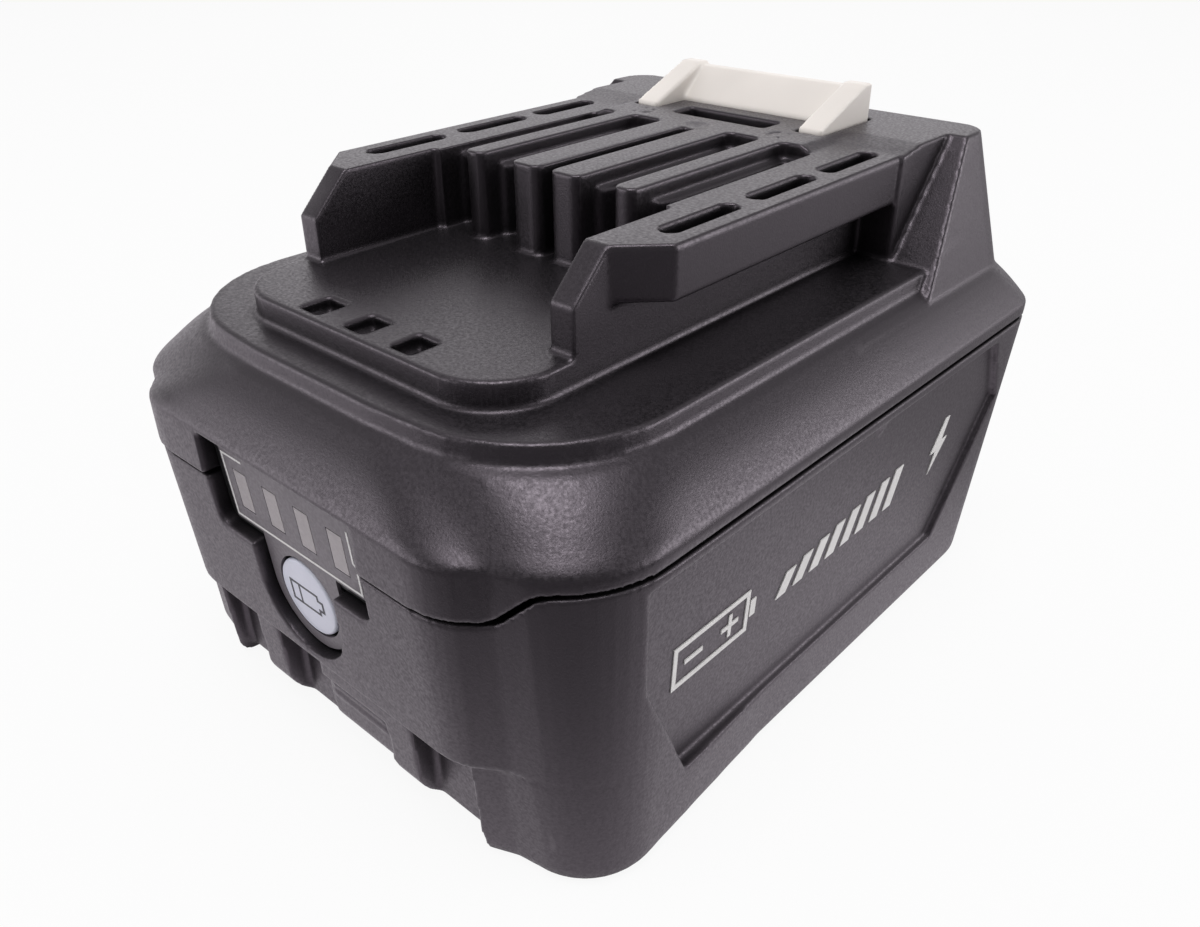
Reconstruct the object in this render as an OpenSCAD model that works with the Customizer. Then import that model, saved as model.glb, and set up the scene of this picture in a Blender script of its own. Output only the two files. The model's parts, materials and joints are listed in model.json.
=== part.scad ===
// Slide-on battery pack for a hand-held power tool.
// Six round cells lie in two rows of three inside a two-piece case.
// Origin: middle of the underside. +Z is up, -Y is the gauge face, +X is the right-hand side.

/* [Cells] */
// Diameter of one cell
cell_d = 18.4; // [17.8:0.1:18.8]
// Length of one cell
cell_l = 65.2; // [62:0.2:68]
// Gap between neighbouring columns of cells
column_gap = 0.6; // [0.4:0.1:1.2]
// Gap between the lower and the upper row of cells
row_gap = 0.4; // [0.2:0.1:1]
// Height of the positive cap of a cell
cap_h = 0.4; // [0.3:0.1:0.6]
// Thickness of the welded strips that join the cells
strip_t = 0.3; // [0.2:0.05:0.5]
// Width of the welded strips
strip_w = 9; // [7:0.5:11]
// Thickness of the holder round each cell
holder_wall = 0.8; // [0.6:0.1:1.2]
// Thickness of the end plate of a holder
holder_end = 1.3; // [1:0.1:2]
// Depth to which a holder grips the cells
holder_grip = 8; // [6:0.5:12]

/* [Case] */
// Thickness of the case walls
wall = 2.4; // [2:0.1:3]
// Thickness of the case floor
floor_t = 2.3; // [2:0.1:3]
// Thickness of the roof over the cells
roof_t = 1.6; // [1.4:0.1:2.4]
// Clearance between the holders and the case
case_clear = 0.7; // [0.5:0.1:1.5]
// Room between the front face and the front holder
gauge_room = 11.7; // [11.5:0.1:14]
// Room between the rear holder and the rear face
rear_room = 6.5; // [6.3:0.1:9]
// How far each side leans in from the seam to the floor
side_draft = 1.6; // [0.8:0.1:2.2]
// How far the front leans in from the seam to the floor
front_draft = 2.3; // [1:0.1:2.6]
// How far the rear leans in from the seam to the floor
rear_draft = 3.5; // [1:0.1:3.6]
// Radius of the front corner pillars
front_corner_r = 12; // [10:0.5:14]
// Radius of the rear corners
rear_corner_r = 7; // [6.5:0.5:10]
// How far the pillars lean in at the sides
pillar_draft = 0.6; // [0.2:0.1:1]
// How far the pillars lean in at the front
pillar_front_draft = 2.9; // [2.4:0.1:3.4]
// How much the radius of the pillars shrinks towards the floor
pillar_taper = 4.5; // [3:0.5:5]
// Radius at which the flat front turns towards the pillars
bulge_r = 8.3; // [7.5:0.1:9]
// Half width of the flat front
bulge_x = 18.5; // [17.5:0.1:19]
// How far the pillars stand behind the flat front
pillar_set = 2.5; // [2:0.1:3]
// Depth of the valley between the flat front and the pillars
valley_d = 0.4; // [0.1:0.1:0.6]
// Rounding of the bottom edge
base_edge = 1.75; // [1.5:0.25:2.5]
// Radius of the rounding under the front band
toe_r = 6.5; // [5:0.1:7]
// Height of the side seam
seam_z = 34; // [33:0.5:35]
// How far the seam drops across the front
seam_drop = 3.6; // [3:0.1:4]
// Width of the open seam line
seam_gap = 0.45; // [0.3:0.05:0.6]
// Half width of the low part of the seam
seam_low_x = 24; // [22:0.2:25]

/* [Case details] */
// Height of the crease above the lower front band
band_z = 13.3; // [11:0.1:14]
// How far the lower front band steps back
band_step = 1; // [0.6:0.1:1.4]
// Depth of the pockets in the lower front band
notch_d = 2; // [1.4:0.1:2.1]
// Depth of the recessed field on each side
field_d = 0.8; // [0.4:0.1:1.1]
// Height of the upright band of the cover above the seam
cover_band = 1.4; // [1:0.1:2.4]
// How far the shoulder of the cover leans in
terrace_in = 5.5; // [5:0.1:6]
// Radius of the front corners of the terrace
terrace_r = 15; // [13:0.5:16]
// Height of the step at the edge of the terrace
terrace_step = 1.8; // [1.2:0.1:2.2]

/* [Slide rails] */
// Height of the bay floor above the terrace
floor_rise = 2.7; // [2.2:0.1:3.2]
// Height of the rails above the bay floor
rail_h = 8.7; // [8.7:0.1:11]
// Half width of the bay between the rails
bay_x = 16.4; // [16.2:0.1:17]
// Thickness of a rail's upright wall
rail_wall = 2.8; // [2.4:0.1:3.4]
// How far a rail's flange reaches out
flange_w = 4; // [3:0.1:4.5]
// Thickness of a rail's flange
flange_t = 5.1; // [4.2:0.1:5.3]
// Distance from the front face to the front of the rails
rail_set = 19.1; // [18:0.1:21]
// Size of the chamfer at the front of the rails
rail_chamfer = 4.2; // [3:0.1:5]
// Distance from the front face to the front of the bay floor
tongue_set = 9.7; // [9.4:0.1:10.4]
// Width of the blind slots in the rail tops
rail_slot_w = 2.2; // [1.6:0.1:2.8]

/* [Terminals] */
// Width of the middle slot
slot_mid_w = 1.6; // [1.2:0.1:2]
// Width of the inner ribs
rib_in_w = 3.9; // [3.4:0.1:4.2]
// Width of the inner terminal slots
slot_in_w = 4.4; // [4:0.1:4.8]
// Width of the outer ribs
rib_out_w = 2.65; // [2.4:0.05:2.9]
// Width of the blade gap at the bottom of a terminal slot
blade_gap = 2; // [1.9:0.1:2.4]
// Depth of the wide upper part of a terminal slot
shelf_d = 1.8; // [1.2:0.1:2.6]
// Length of the terminal ribs in front of the deck
rib_l = 24.9; // [22:0.1:25]
// Thickness of a contact's spring leaf
leaf_t = 0.4; // [0.3:0.05:0.5]
// Thickness of the circuit boards
board_t = 1.2; // [0.8:0.1:1.2]

/* [Latch] */
// Height of the hook above the deck
hook_h = 4; // [3:0.1:4.2]
// Distance from the rear face to the front of the wedges
wedge_set = 21.7; // [21:0.1:22]
// Length of the wedges in front of the bar
wedge_l = 5.5; // [5:0.1:6]
// Length of the bar that joins the wedges
bar_l = 5; // [4.6:0.1:5.4]
// Height of the release button
release_h = 7; // [6:0.1:7.4]
// Travel of the latch
latch_travel = 4.2; // [4.2:0.1:4.4]
// Half width of the hook
hook_x = 13.2; // [12.4:0.1:13.6]
// Width of each wedge of the hook
wedge_w = 3; // [2.4:0.1:3.6]
// Clearance round the latch
latch_clear = 0.3; // [0.25:0.05:0.4]
// Half width of the release button
release_x = 11; // [8:0.5:12]
// Outer diameter of the latch springs
spring_d = 5.6; // [4.6:0.1:5.8]
// Wire diameter of the latch springs
spring_wire = 0.7; // [0.5:0.05:0.8]
// Turns of each latch spring
spring_turns = 6; // [5:1:7]

/* [Gauge] */
// Height of the button's centre
button_z = 20.5; // [20:0.1:21]
// Diameter of the gauge button
button_d = 8.4; // [7.6:0.1:9]
// Travel of the gauge button
button_travel = 0.3; // [0.2:0.05:0.3]
// Half width of the gauge window
window_x = 12; // [11.5:0.1:13]
// Radius of the round foot of the gauge window
window_r = 6.3; // [6:0.1:7]
// Depth of the gauge overlay below the front face
overlay_set = 1.15; // [0.8:0.05:1.3]
// Thickness of the gauge overlay
overlay_t = 0.35; // [0.2:0.05:0.4]
// Width of a charge bar
bar_w = 2.1; // [2:0.1:3]
// Height of a charge bar
bar_h = 4.3; // [3:0.1:4.6]
// Distance between the charge bars
bar_pitch = 4.95; // [4.4:0.05:5.1]

/* [Screws] */
// Shank diameter of the case screws
screw_d = 2.9; // [2.5:0.1:3]
// Head diameter of the case screws
screw_head_d = 4.2; // [4:0.1:4.4]
// Length of the case screws under the head
screw_l = 22; // [21:0.5:24]

/* [Hidden] */
$fn = 48;
// Small overlap that keeps a cut clear of the face it opens
cut = 1;
// Play between fixed pieces that sit beside each other
play = 0.2;
contact_play = 0.1;

cell_pitch = cell_d + column_gap;
row_pitch = cell_d + row_gap;
half_w = cell_pitch + cell_d / 2 + holder_wall + case_clear + wall + side_draft;
holder_l = cell_l + cap_h + 2 * (strip_t + holder_end);
case_l = gauge_room + holder_l + rear_room;
y_front = -case_l / 2;
y_rear = case_l / 2;
holder_y0 = y_front + gauge_room;
holder_y1 = y_rear - rear_room;
cells_y0 = holder_y0 + holder_end + strip_t;
cells_y1 = holder_y1 - holder_end - strip_t;
row_1_z = floor_t + play + holder_wall + cell_d / 2;
row_2_z = row_1_z + row_pitch;
holder_z0 = floor_t + play;
holder_z1 = row_2_z + cell_d / 2 + row_gap;
roof_in = holder_z1 + contact_play;
terrace_z = roof_in + roof_t;
bay_z = terrace_z + floor_rise;
rail_z = bay_z + rail_h;
deck_rise = 0.65;
deck_z = rail_z + deck_rise;
deck_t = 2.2;
front_seam_z = seam_z - seam_drop;
cover_band_z = seam_z + cover_band;
shoulder_z = terrace_z - terrace_step;
shoulder_h = shoulder_z - cover_band_z;
lip_h = 2.2;
lip_t = 1.2;
lip_in = wall + 0.15;

// Plan outline of the case: arcs of the flat front, the pillars and the rear corners
waist_y = y_front + 33;
bulge_steps = 4;
corner_steps = 9;

function arc_points(c, r, from, to, steps) =
    [for (i = [0:steps]) let (a = from + (to - from) * i / steps) [c[0] + r * cos(a), c[1] + r * sin(a)]];
function mirrored(points) = [for (i = [len(points) - 1:-1:0]) [-points[i][0], points[i][1]]];
function both_sides(points) = concat(points, mirrored(points));
// Angle at which one circle [x, y, radius] hands over to the next along their common tangent
function hand_over(a, b) = let (run = [b[0] - a[0], b[1] - a[1]])
    atan2(run[1], run[0]) + asin((a[2] - b[2]) / norm(run));
// Closed outline from the circles of the front, the pillar and the rear corner, moved in by an amount,
// with a valley between the front and the pillar
function outline(front, pillar, side_x, rear, extra, valley) = let (
    turn = hand_over(front, pillar),
    out = [sin(turn), -cos(turn)],
    front_end = [front[0], front[1]] + out * (front[2] - extra),
    pillar_start = [pillar[0], pillar[1]] + out * (pillar[2] - extra))
    both_sides(concat(
        arc_points(front, front[2] - extra, -90, turn - 90, bulge_steps),
        [(front_end + pillar_start) / 2 - out * valley],
        arc_points(pillar, pillar[2] - extra, turn - 90, 0, corner_steps),
        [[side_x - extra, waist_y]],
        arc_points(rear, rear[2] - extra, 0, 90, corner_steps)));
// Case outline where a share k of the draft is reached
function case_ring(k, extra, step) = let (
    pillar_r = front_corner_r - pillar_taper * k,
    side_x = half_w - side_draft * k)
    outline(
        [bulge_x, y_front + bulge_r + front_draft * k + step, bulge_r],
        [half_w - pillar_draft * k - pillar_r, y_front + pillar_set + pillar_front_draft * k + pillar_r, pillar_r],
        side_x, [side_x - rear_corner_r, y_rear - rear_draft * k - rear_corner_r, rear_corner_r], extra, valley_d);
// How much of the draft is reached at a height
function lean(z) = (seam_z - z) / seam_z;
function lower_ring(z, extra, step) = case_ring(lean(z), extra, step);
function even_ring(inset) = case_ring(0, inset, 0);
// Outline of the terrace, with wider corners than the case
terrace_flat_x = 8;
terrace_front_r = terrace_r + 1;
terrace_corner_set = 0.4;
terrace_rear_r = 6;
terrace_rear_in = terrace_in - 1;
function terrace_ring(inset) = let (edge_x = half_w - terrace_in)
    outline(
        [terrace_flat_x, y_front + terrace_in + terrace_front_r, terrace_front_r],
        [edge_x - terrace_r, y_front + terrace_in + terrace_corner_set + terrace_r, terrace_r],
        edge_x, [edge_x - terrace_rear_r, y_rear - terrace_rear_in - terrace_rear_r, terrace_rear_r], inset, 0);
// Outline between two others
function between(a, b, t) = [for (i = [0:len(a) - 1]) a[i] + (b[i] - a[i]) * t];

// Solid through a stack of outlines that have the same number of points; strips between the mirrored halves of an
// outline close each end
module loft(rings, heights) {
    n = len(rings[0]);
    m = len(rings);
    sides = [for (k = [0:m - 2]) for (i = [0:n - 1]) let (j = (i + 1) % n)
        each [[k * n + i, k * n + n + i, k * n + n + j], [k * n + i, k * n + n + j, k * n + j]]];
    low_end = [for (i = [0:n / 2 - 2]) each [[i, i + 1, n - 2 - i], [i, n - 2 - i, n - 1 - i]]];
    top = (m - 1) * n;
    polyhedron(
        points = [for (k = [0:m - 1]) for (p = rings[k]) [p[0], p[1], heights[k]]],
        faces = concat(low_end, sides, [for (f = low_end) [top + f[0], top + f[2], top + f[1]]]));
}

// Box between two corners
module box(from, to) {
    translate(from)
        cube(to - from);
}

// Outline in the YZ plane drawn out along X, centred
module along_x(width) {
    translate([-width / 2, 0, 0])
        rotate([90, 0, 90])
            linear_extrude(width)
                children();
}

// Outline in the XZ plane drawn out along Y
module along_y(from, to) {
    translate([0, to, 0])
        rotate([90, 0, 0])
            linear_extrude(to - from)
                children();
}

// Slot outline with round ends, running along Y
module round_slot(x, y0, y1, width) {
    translate([x - width / 2, y0 + width / 2])
        square([width, y1 - y0 - width]);
    for (y = [y0 + width / 2, y1 - width / 2])
        translate([x, y])
            circle(d = width);
}

// Plan outline with round front corners
module rounded_front(half_x, y0, y1, r) {
    translate([-half_x, y0 + r])
        square([2 * half_x, y1 - y0 - r]);
    translate([-half_x + r, y0])
        square([2 * (half_x - r), r + cut]);
    both_x()
        translate([half_x - r, y0 + r])
            circle(r = r);
}

module both_x() {
    for (side = [0, 1])
        mirror([side, 0, 0])
            children();
}

// Gauge group: a frame on the leaning front face, its Y runs inwards
front_tilt = atan(front_draft / seam_z);
gauge_y = y_front + front_draft * lean(button_z);
label_z = 9.1;
label_h = 8.2;
ledge_h = 1;
brow_h = 1.2;
window_top = label_z + label_h / 2 + brow_h;
window_shoulder = label_z - label_h / 2 - ledge_h;
window_round = 1.4;
housing_rim = 1.5;
housing_rim_y = 3.3;
housing_y1 = 4.5;
housing_y0 = overlay_set + overlay_t;
overlay_gap = 1.8;
foot_gap = 0.5;
button_gap = 0.3;
button_stand = 0.15;
button_face = overlay_set - button_stand;
stem_d = 3;
stem_end = 2.5;
switch_size = 6;
switch_y = stem_end + button_travel + 0.4;
led_h = 0.7;
board_y0 = housing_y1;
board_y1 = board_y0 + board_t;

module gauge_frame() {
    translate([0, gauge_y, button_z])
        rotate([front_tilt, 0, 0])
            children();
}

// Window outline in the gauge frame, grown by a margin
module window_outline(grow) {
    r = window_round + grow;
    top_x = window_x + grow;
    translate([-top_x, window_shoulder - grow + r])
        square([2 * top_x, window_top - window_shoulder + 2 * grow - r]);
    translate([-top_x + r, window_shoulder - grow])
        square([2 * (top_x - r), 2 * r]);
    both_x()
        translate([top_x - r, window_shoulder - grow + r])
            circle(r = r);
    translate([-window_r - grow, 0])
        square([2 * (window_r + grow), window_shoulder + grow]);
    circle(r = window_r + grow);
}

// Overlay outline: the label field and the round field of the button
module overlay_outline() {
    label_x = window_x - overlay_gap;
    translate([-label_x, label_z - label_h / 2 + contact_play])
        square([2 * label_x, label_h]);
    translate([-window_r + foot_gap, 0])
        square([2 * (window_r - foot_gap), label_z - label_h / 2 + cut]);
    circle(r = window_r - foot_gap);
}

module bar_places() {
    for (i = [0:3])
        translate([(i - 1.5) * bar_pitch, 0, label_z])
            children();
}

module bars(from, to, grow) {
    bar_places()
        box([-bar_w / 2 - grow, from, -bar_h / 2 - grow], [bar_w / 2 + grow, to, bar_h / 2 + grow]);
}

// Case screws: two from below, in posts beside the gauge housing
post_r = 3;
screw_x = window_x + housing_rim + post_r;
screw_y = holder_y0 - post_r - contact_play;
screw_seat_z = 8;
post_top = 26;
screw_head_h = 2;
screw_hole_d = screw_d + 2 * play;
head_hole_d = screw_head_d + 2 * play;

// Outer form of the lower case
edge_steps = 4;
crease_h = 0.5;

module lower_outer() {
    turns = [for (i = [0:edge_steps]) 90 * i / edge_steps];
    heights = concat(
        [for (a = turns) base_edge * (1 - cos(a))],
        [band_z - crease_h, band_z, seam_z - seam_gap]);
    rings = concat(
        [for (a = turns) lower_ring(base_edge * (1 - cos(a)), base_edge * (1 - sin(a)), band_step)],
        [lower_ring(band_z - crease_h, 0, band_step), lower_ring(band_z, 0, 0), lower_ring(seam_z - seam_gap, 0, 0)]);
    difference() {
        loft(rings, heights);
        toe_cut();
    }
}

// Large rounding under the lower front band, between the pillars
module toe_cut() {
    toe_y = y_front + front_draft * lean(toe_r) + band_step + toe_r - play;
    toe_z = toe_r - contact_play;
    along_x(2 * (pocket_end_x + play))
        difference() {
            translate([y_front - cut, -cut])
                square([toe_y - y_front + cut, toe_z + cut]);
            translate([toe_y, toe_z])
                circle(r = toe_r);
        }
}

// Inside of the lower case
module lower_cavity() {
    loft([lower_ring(floor_t, wall, band_step), lower_ring(seam_z + cut, wall, 0)], [floor_t, seam_z + cut]);
}

// The part of the front wall that belongs to the cover, with round corners where the seam ramps up
seam_ramp = 45;
seam_low_r = 2;
seam_top_r = 2.5;
seam_steps = 4;

module apron(grow) {
    rounds = (seam_low_r + seam_top_r) * (1 - cos(seam_ramp));
    run = (seam_drop - rounds) / tan(seam_ramp);
    top_x = seam_low_x + (seam_low_r + seam_top_r) * sin(seam_ramp) + run;
    low = arc_points([seam_low_x, front_seam_z + seam_low_r], seam_low_r + grow, -90, seam_ramp - 90, seam_steps);
    top = arc_points([top_x, seam_z - seam_top_r], seam_top_r - grow, seam_ramp + 90, 90, seam_steps);
    along_y(y_front - cut, screw_y - contact_play)
        polygon(both_sides(concat(low, top, [[top_x + cut, seam_z + cut]])));
}

// Recessed field on the right-hand side, leaning with the wall
field_top = seam_z - 1.6;
field_low = 8;
field_front = y_front + 12.3;
field_rear = y_rear - 8;

module side_field(depth) {
    field_h = field_top - field_low;
    side_tilt = atan(side_draft / seam_z);
    outline = [
        [field_front + 6.3, 0], [field_rear - 10.5, 0], [field_rear, field_h * 0.66],
        [field_rear - 4, field_h], [field_front, field_h], [field_front, field_h * 0.57]];
    translate([half_w - side_draft * lean(field_low), 0, field_low])
        rotate([0, side_tilt, 0])
            translate([-depth, 0, 0])
                rotate([90, 0, 90])
                    linear_extrude(depth + cut)
                        polygon(outline);
}

// Small triangular mark at the upper edge of the side field
module field_mark() {
    mark_y = 6;
    mark_w = 3;
    side_tilt = atan(side_draft / seam_z);
    translate([half_w - side_draft * lean(field_low), 0, field_low])
        rotate([0, side_tilt, 0])
            translate([-field_d - cut, mark_y, field_top - field_low])
                rotate([90, 0, 90])
                    linear_extrude(field_d / 2 + cut)
                        polygon([[-mark_w / 2, cut / 2], [mark_w / 2, cut / 2], [0, -mark_w / 2]]);
}

// Lower front band: feet, pockets that open downwards between them, and a recessed panel
foot_in = 8.9;
foot_w = 4.1;
pocket_w = 7.9;
pocket_end_x = foot_in + foot_w + pocket_w;
front_low_y = y_front + front_draft + band_step;
pocket_y = front_low_y + notch_d;
pocket_top = band_z - crease_h - contact_play;
pocket_wall_top = band_z + 1;
panel_x = -1.6;
panel_d = 0.6;
panel_top = band_z - 3.8;

module front_pocket(x0, x1) {
    box([x0, y_front - cut, -cut], [x1, pocket_y, pocket_top]);
}

module front_pockets() {
    both_x()
        front_pocket(foot_in + foot_w, pocket_end_x);
    front_pocket(-foot_in, panel_x);
}

// Room inside the lower case, left solid behind the pockets
module lower_room() {
    back_x = pocket_end_x + wall / 2;
    difference() {
        lower_cavity();
        box([-back_x, y_front, 0], [back_x, pocket_y + wall * 2 / 3, pocket_wall_top]);
    }
}

module panel_recess() {
    difference() {
        box([panel_x - cut / 2, y_front - cut, -cut], [foot_in, pocket_y, panel_top]);
        translate([0, panel_d, 0])
            lower_outer();
    }
}

// Fine raised lines on the recessed panel
module panel_lines() {
    line_w = 0.5;
    line_d = 0.25;
    line_pitch = 1.2;
    margin = 1;
    for (i = [1:2]) {
        z = panel_top - i * line_pitch;
        y = y_front + front_draft * lean(z) + band_step + panel_d;
        box([panel_x + margin, y - line_d, z], [foot_in - margin, y + wall / 2, z + line_w]);
    }
}

module screw_places() {
    both_x()
        translate([screw_x, screw_y, 0])
            children();
}

// Catch pockets for the two rear tabs of the cover
tab_x0 = 14;
tab_w = 6;
tab_y = y_rear - wall - 1.1;
tab_t = 1.2;
tab_z0 = seam_z - 6;
catch_h = 1.6;
catch_d = 0.9;

module rear_catch(grow) {
    both_x()
        box([tab_x0 - grow, tab_y - tab_t, tab_z0 - grow],
            [tab_x0 + tab_w + grow, tab_y + catch_d + grow, tab_z0 + catch_h + grow]);
}

module lower_case() {
    color("#3a373b")
        difference() {
            union() {
                difference() {
                    lower_outer();
                    lower_room();
                    both_x()
                        side_field(field_d);
                    front_pockets();
                    panel_recess();
                    apron(seam_gap);
                    rear_catch(play);
                }
                panel_lines();
                both_x()
                    field_mark();
                screw_places()
                    translate([0, 0, floor_t - play])
                        cylinder(r = post_r, h = post_top - floor_t + play);
            }
            gauge_frame()
                along_y(-cut, housing_rim_y + 3)
                    window_outline(0);
            screw_places() {
                translate([0, 0, -cut])
                    cylinder(d = head_hole_d, h = screw_seat_z + cut);
                cylinder(d = screw_hole_d, h = post_top + cut);
            }
        }
}

// Cover: outer skirt with its shoulder and the step up to the terrace
shoulder_steps = 7;
shoulder_bend = 1.4;

module skirt() {
    shares = [for (i = [0:shoulder_steps]) i / shoulder_steps];
    loft(
        concat(
            [even_ring(0)],
            [for (t = shares) between(even_ring(0), terrace_ring(0), t)],
            [terrace_ring(terrace_step / 6)]),
        concat(
            [front_seam_z - lip_h],
            [for (t = shares) cover_band_z + shoulder_h * (1 - pow(1 - t, shoulder_bend))],
            [terrace_z]));
}

module skirt_cavity() {
    inner = lip_in + lip_t;
    bend_z = cover_band_z + 0.8;
    loft(
        [even_ring(inner), even_ring(inner), terrace_ring(roof_t + contact_play)],
        [front_seam_z - lip_h - cut, bend_z, roof_in]);
}

// Everything under the seam that the cover leaves to the lower case, apart from its lip
module below_seam() {
    difference() {
        translate([-half_w - cut, y_front - cut, 0])
            cube([2 * (half_w + cut), case_l + 2 * cut, seam_z]);
        apron(0);
        difference() {
            loft([lower_ring(seam_z - lip_h, lip_in, 0), even_ring(lip_in)], [seam_z - lip_h, seam_z + cut]);
            translate([-half_w, y_front - cut, 0])
                cube([2 * half_w, screw_y + 2 * post_r - y_front, seam_z + 2 * cut]);
        }
    }
}

// Rear tower with slanting front faces and a leaning back
tower_top_x = 25.8;
tower_low_x = 30.7;
tower_top_y0 = y_rear - 12;
tower_top_y1 = y_rear - 6;
tower_low_y0 = y_rear - 27.2;
tower_low_y1 = y_rear - 0.9;
tower_low_z = seam_z + 2.4;
tower_r = 3.5;
tower_low_r = 8;

function tower_ring(x, y0, y1, r) =
    both_sides(concat([[x, y0]], arc_points([x - r, y1 - r], r, 0, 90, corner_steps)));
function tower_back(z) =
    tower_top_y1 + (tower_low_y1 - tower_top_y1) * (deck_z - z) / (deck_z - tower_low_z);

module tower() {
    loft([
        tower_ring(tower_low_x, tower_low_y0, tower_low_y1, tower_low_r),
        tower_ring(tower_top_x, tower_top_y0, tower_top_y1, tower_r)],
        [tower_low_z, deck_z]);
}

// Bay floor: a raised tongue with round front corners
tongue_y = y_front + tongue_set;
tongue_x = bay_x + rail_wall;
tongue_r = 7;
block_y1 = y_rear - 25.3;

module tongue() {
    translate([0, 0, terrace_z - cut])
        linear_extrude(floor_rise + cut)
            rounded_front(tongue_x, tongue_y, block_y1 + tongue_r, tongue_r);
}

// Rails: upright walls with outward flanges, chamfered at the front
rail_y0 = y_front + rail_set;
rail_y1 = y_rear - 20;
flange_x = tongue_x + flange_w;
flange_z = rail_z - flange_t;
flange_y0 = rail_y0 + rail_chamfer;

module rail() {
    difference() {
        union() {
            box([bay_x, rail_y0, terrace_z], [tongue_x, rail_y1, rail_z]);
            translate([0, 0, flange_z])
                linear_extrude(flange_t)
                    polygon([
                        [tongue_x - cut, flange_y0 - cut], [tongue_x, flange_y0],
                        [flange_x, flange_y0 + flange_w], [flange_x, rail_y1], [tongue_x - cut, rail_y1]]);
        }
        translate([bay_x + flange_w, 0, 0])
            along_x(4 * flange_w)
                polygon([
                    [rail_y0 - cut, rail_z - rail_chamfer - cut], [rail_y0 - cut, rail_z + cut],
                    [rail_y0 + rail_chamfer + cut, rail_z + cut]]);
    }
}

// Blind slots in a rail top, three in a row
slot_x = bay_x + rail_wall + 1;
slot_depth = 3;
slot_starts = [10, 22.9, 35.2];
slot_lengths = [10.4, 10.2, 10];

module rail_slots() {
    for (i = [0:2])
        translate([0, 0, rail_z - slot_depth])
            linear_extrude(slot_depth + cut)
                round_slot(slot_x, rail_y0 + slot_starts[i], rail_y0 + slot_starts[i] + slot_lengths[i], rail_slot_w);
}

// Terminal ribs: centres of the inner and outer slots follow from the widths
rib_in_x = slot_mid_w / 2;
slot_in_x = rib_in_x + rib_in_w;
rib_out_x = slot_in_x + slot_in_w;
slot_out_x = rib_out_x + rib_out_w;
slot_wall = 0.75;
slot_out_w = bay_x - slot_wall - slot_out_x;
gap_centres = [slot_in_x + slot_in_w / 2, slot_out_x + slot_out_w / 2];
rib_y0 = block_y1 - 1.8 - rib_l;
shelf_y0 = rib_y0 + 3;
slot_end = block_y1 - 1.8;
shelf_z = deck_z - shelf_d;
rib_round = 1.1;

module rib(x, width) {
    translate([x, rib_y0 + rib_round])
        square([width, block_y1 - rib_y0 - rib_round]);
    translate([x + rib_round, rib_y0])
        square([width - 2 * rib_round, 2 * rib_round]);
    for (cx = [x + rib_round, x + width - rib_round])
        translate([cx, rib_y0 + rib_round])
            circle(r = rib_round);
}

module terminal_ribs() {
    translate([0, 0, bay_z - cut])
        linear_extrude(deck_z - bay_z + cut)
            both_x() {
                rib(rib_in_x, rib_in_w);
                rib(rib_out_x, rib_out_w);
            }
    box([-bay_x - cut / 2, shelf_y0, bay_z - cut], [bay_x + cut / 2, block_y1, shelf_z]);
    both_x()
        box([bay_x - slot_wall, rib_y0, bay_z - cut], [bay_x + cut, block_y1, rail_z]);
}

// Wide upper part of a terminal slot, with round corners at its rear end
module slot_top(x, width) {
    translate([x, rib_y0 - cut])
        square([width, slot_end - rib_round - rib_y0 + cut]);
    translate([x + rib_round, slot_end - 2 * rib_round])
        square([width - 2 * rib_round, 2 * rib_round]);
    for (cx = [x + rib_round, x + width - rib_round])
        translate([cx, slot_end - rib_round])
            circle(r = rib_round);
}

module slot_tops() {
    translate([0, 0, shelf_z])
        linear_extrude(deck_z)
            both_x() {
                slot_top(slot_in_x, slot_in_w);
                slot_top(slot_out_x, slot_out_w);
            }
}

// Funnel-mouthed blade gap along Y
module blade_gaps() {
    funnel = 0.95;
    funnel_l = 2.4;
    translate([0, 0, bay_z])
        linear_extrude(deck_z)
            both_x()
                for (x = gap_centres)
                    polygon([
                        [x - blade_gap / 2 - funnel, shelf_y0 - cut], [x + blade_gap / 2 + funnel, shelf_y0 - cut],
                        [x + blade_gap / 2, shelf_y0 + funnel_l], [x + blade_gap / 2, slot_end - 1],
                        [x - blade_gap / 2, slot_end - 1], [x - blade_gap / 2, shelf_y0 + funnel_l]]);
    translate([0, 0, bay_z])
        linear_extrude(deck_z)
            round_slot(0, rib_y0 - cut, slot_end - 2.5, slot_mid_w);
}

// Deck behind the slots: plateau, ramp and rear deck
plateau_x = 13.9;
ramp_y0 = y_rear - 22.1;
ramp_y1 = y_rear - 18;
deck_x = flange_x + 0.4;

module deck() {
    along_y(slot_end - rib_round, tower_top_y0 + 2)
        polygon([
            [-bay_x, shelf_z], [-bay_x, rail_z], [-plateau_x - 1.6, rail_z], [-plateau_x, deck_z],
            [plateau_x, deck_z], [plateau_x + 1.6, rail_z], [bay_x, rail_z], [bay_x, shelf_z]]);
    along_x(2 * deck_x)
        polygon([
            [ramp_y0, terrace_z - cut], [ramp_y0, rail_z], [ramp_y1, deck_z],
            [tower_top_y0 + 2, deck_z], [tower_top_y0 + 2, terrace_z - cut]]);
    box([-bay_x - cut, block_y1 - cut, shelf_z - deck_t], [bay_x + cut, ramp_y0 + cut, shelf_z + 0.2]);
}

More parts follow.
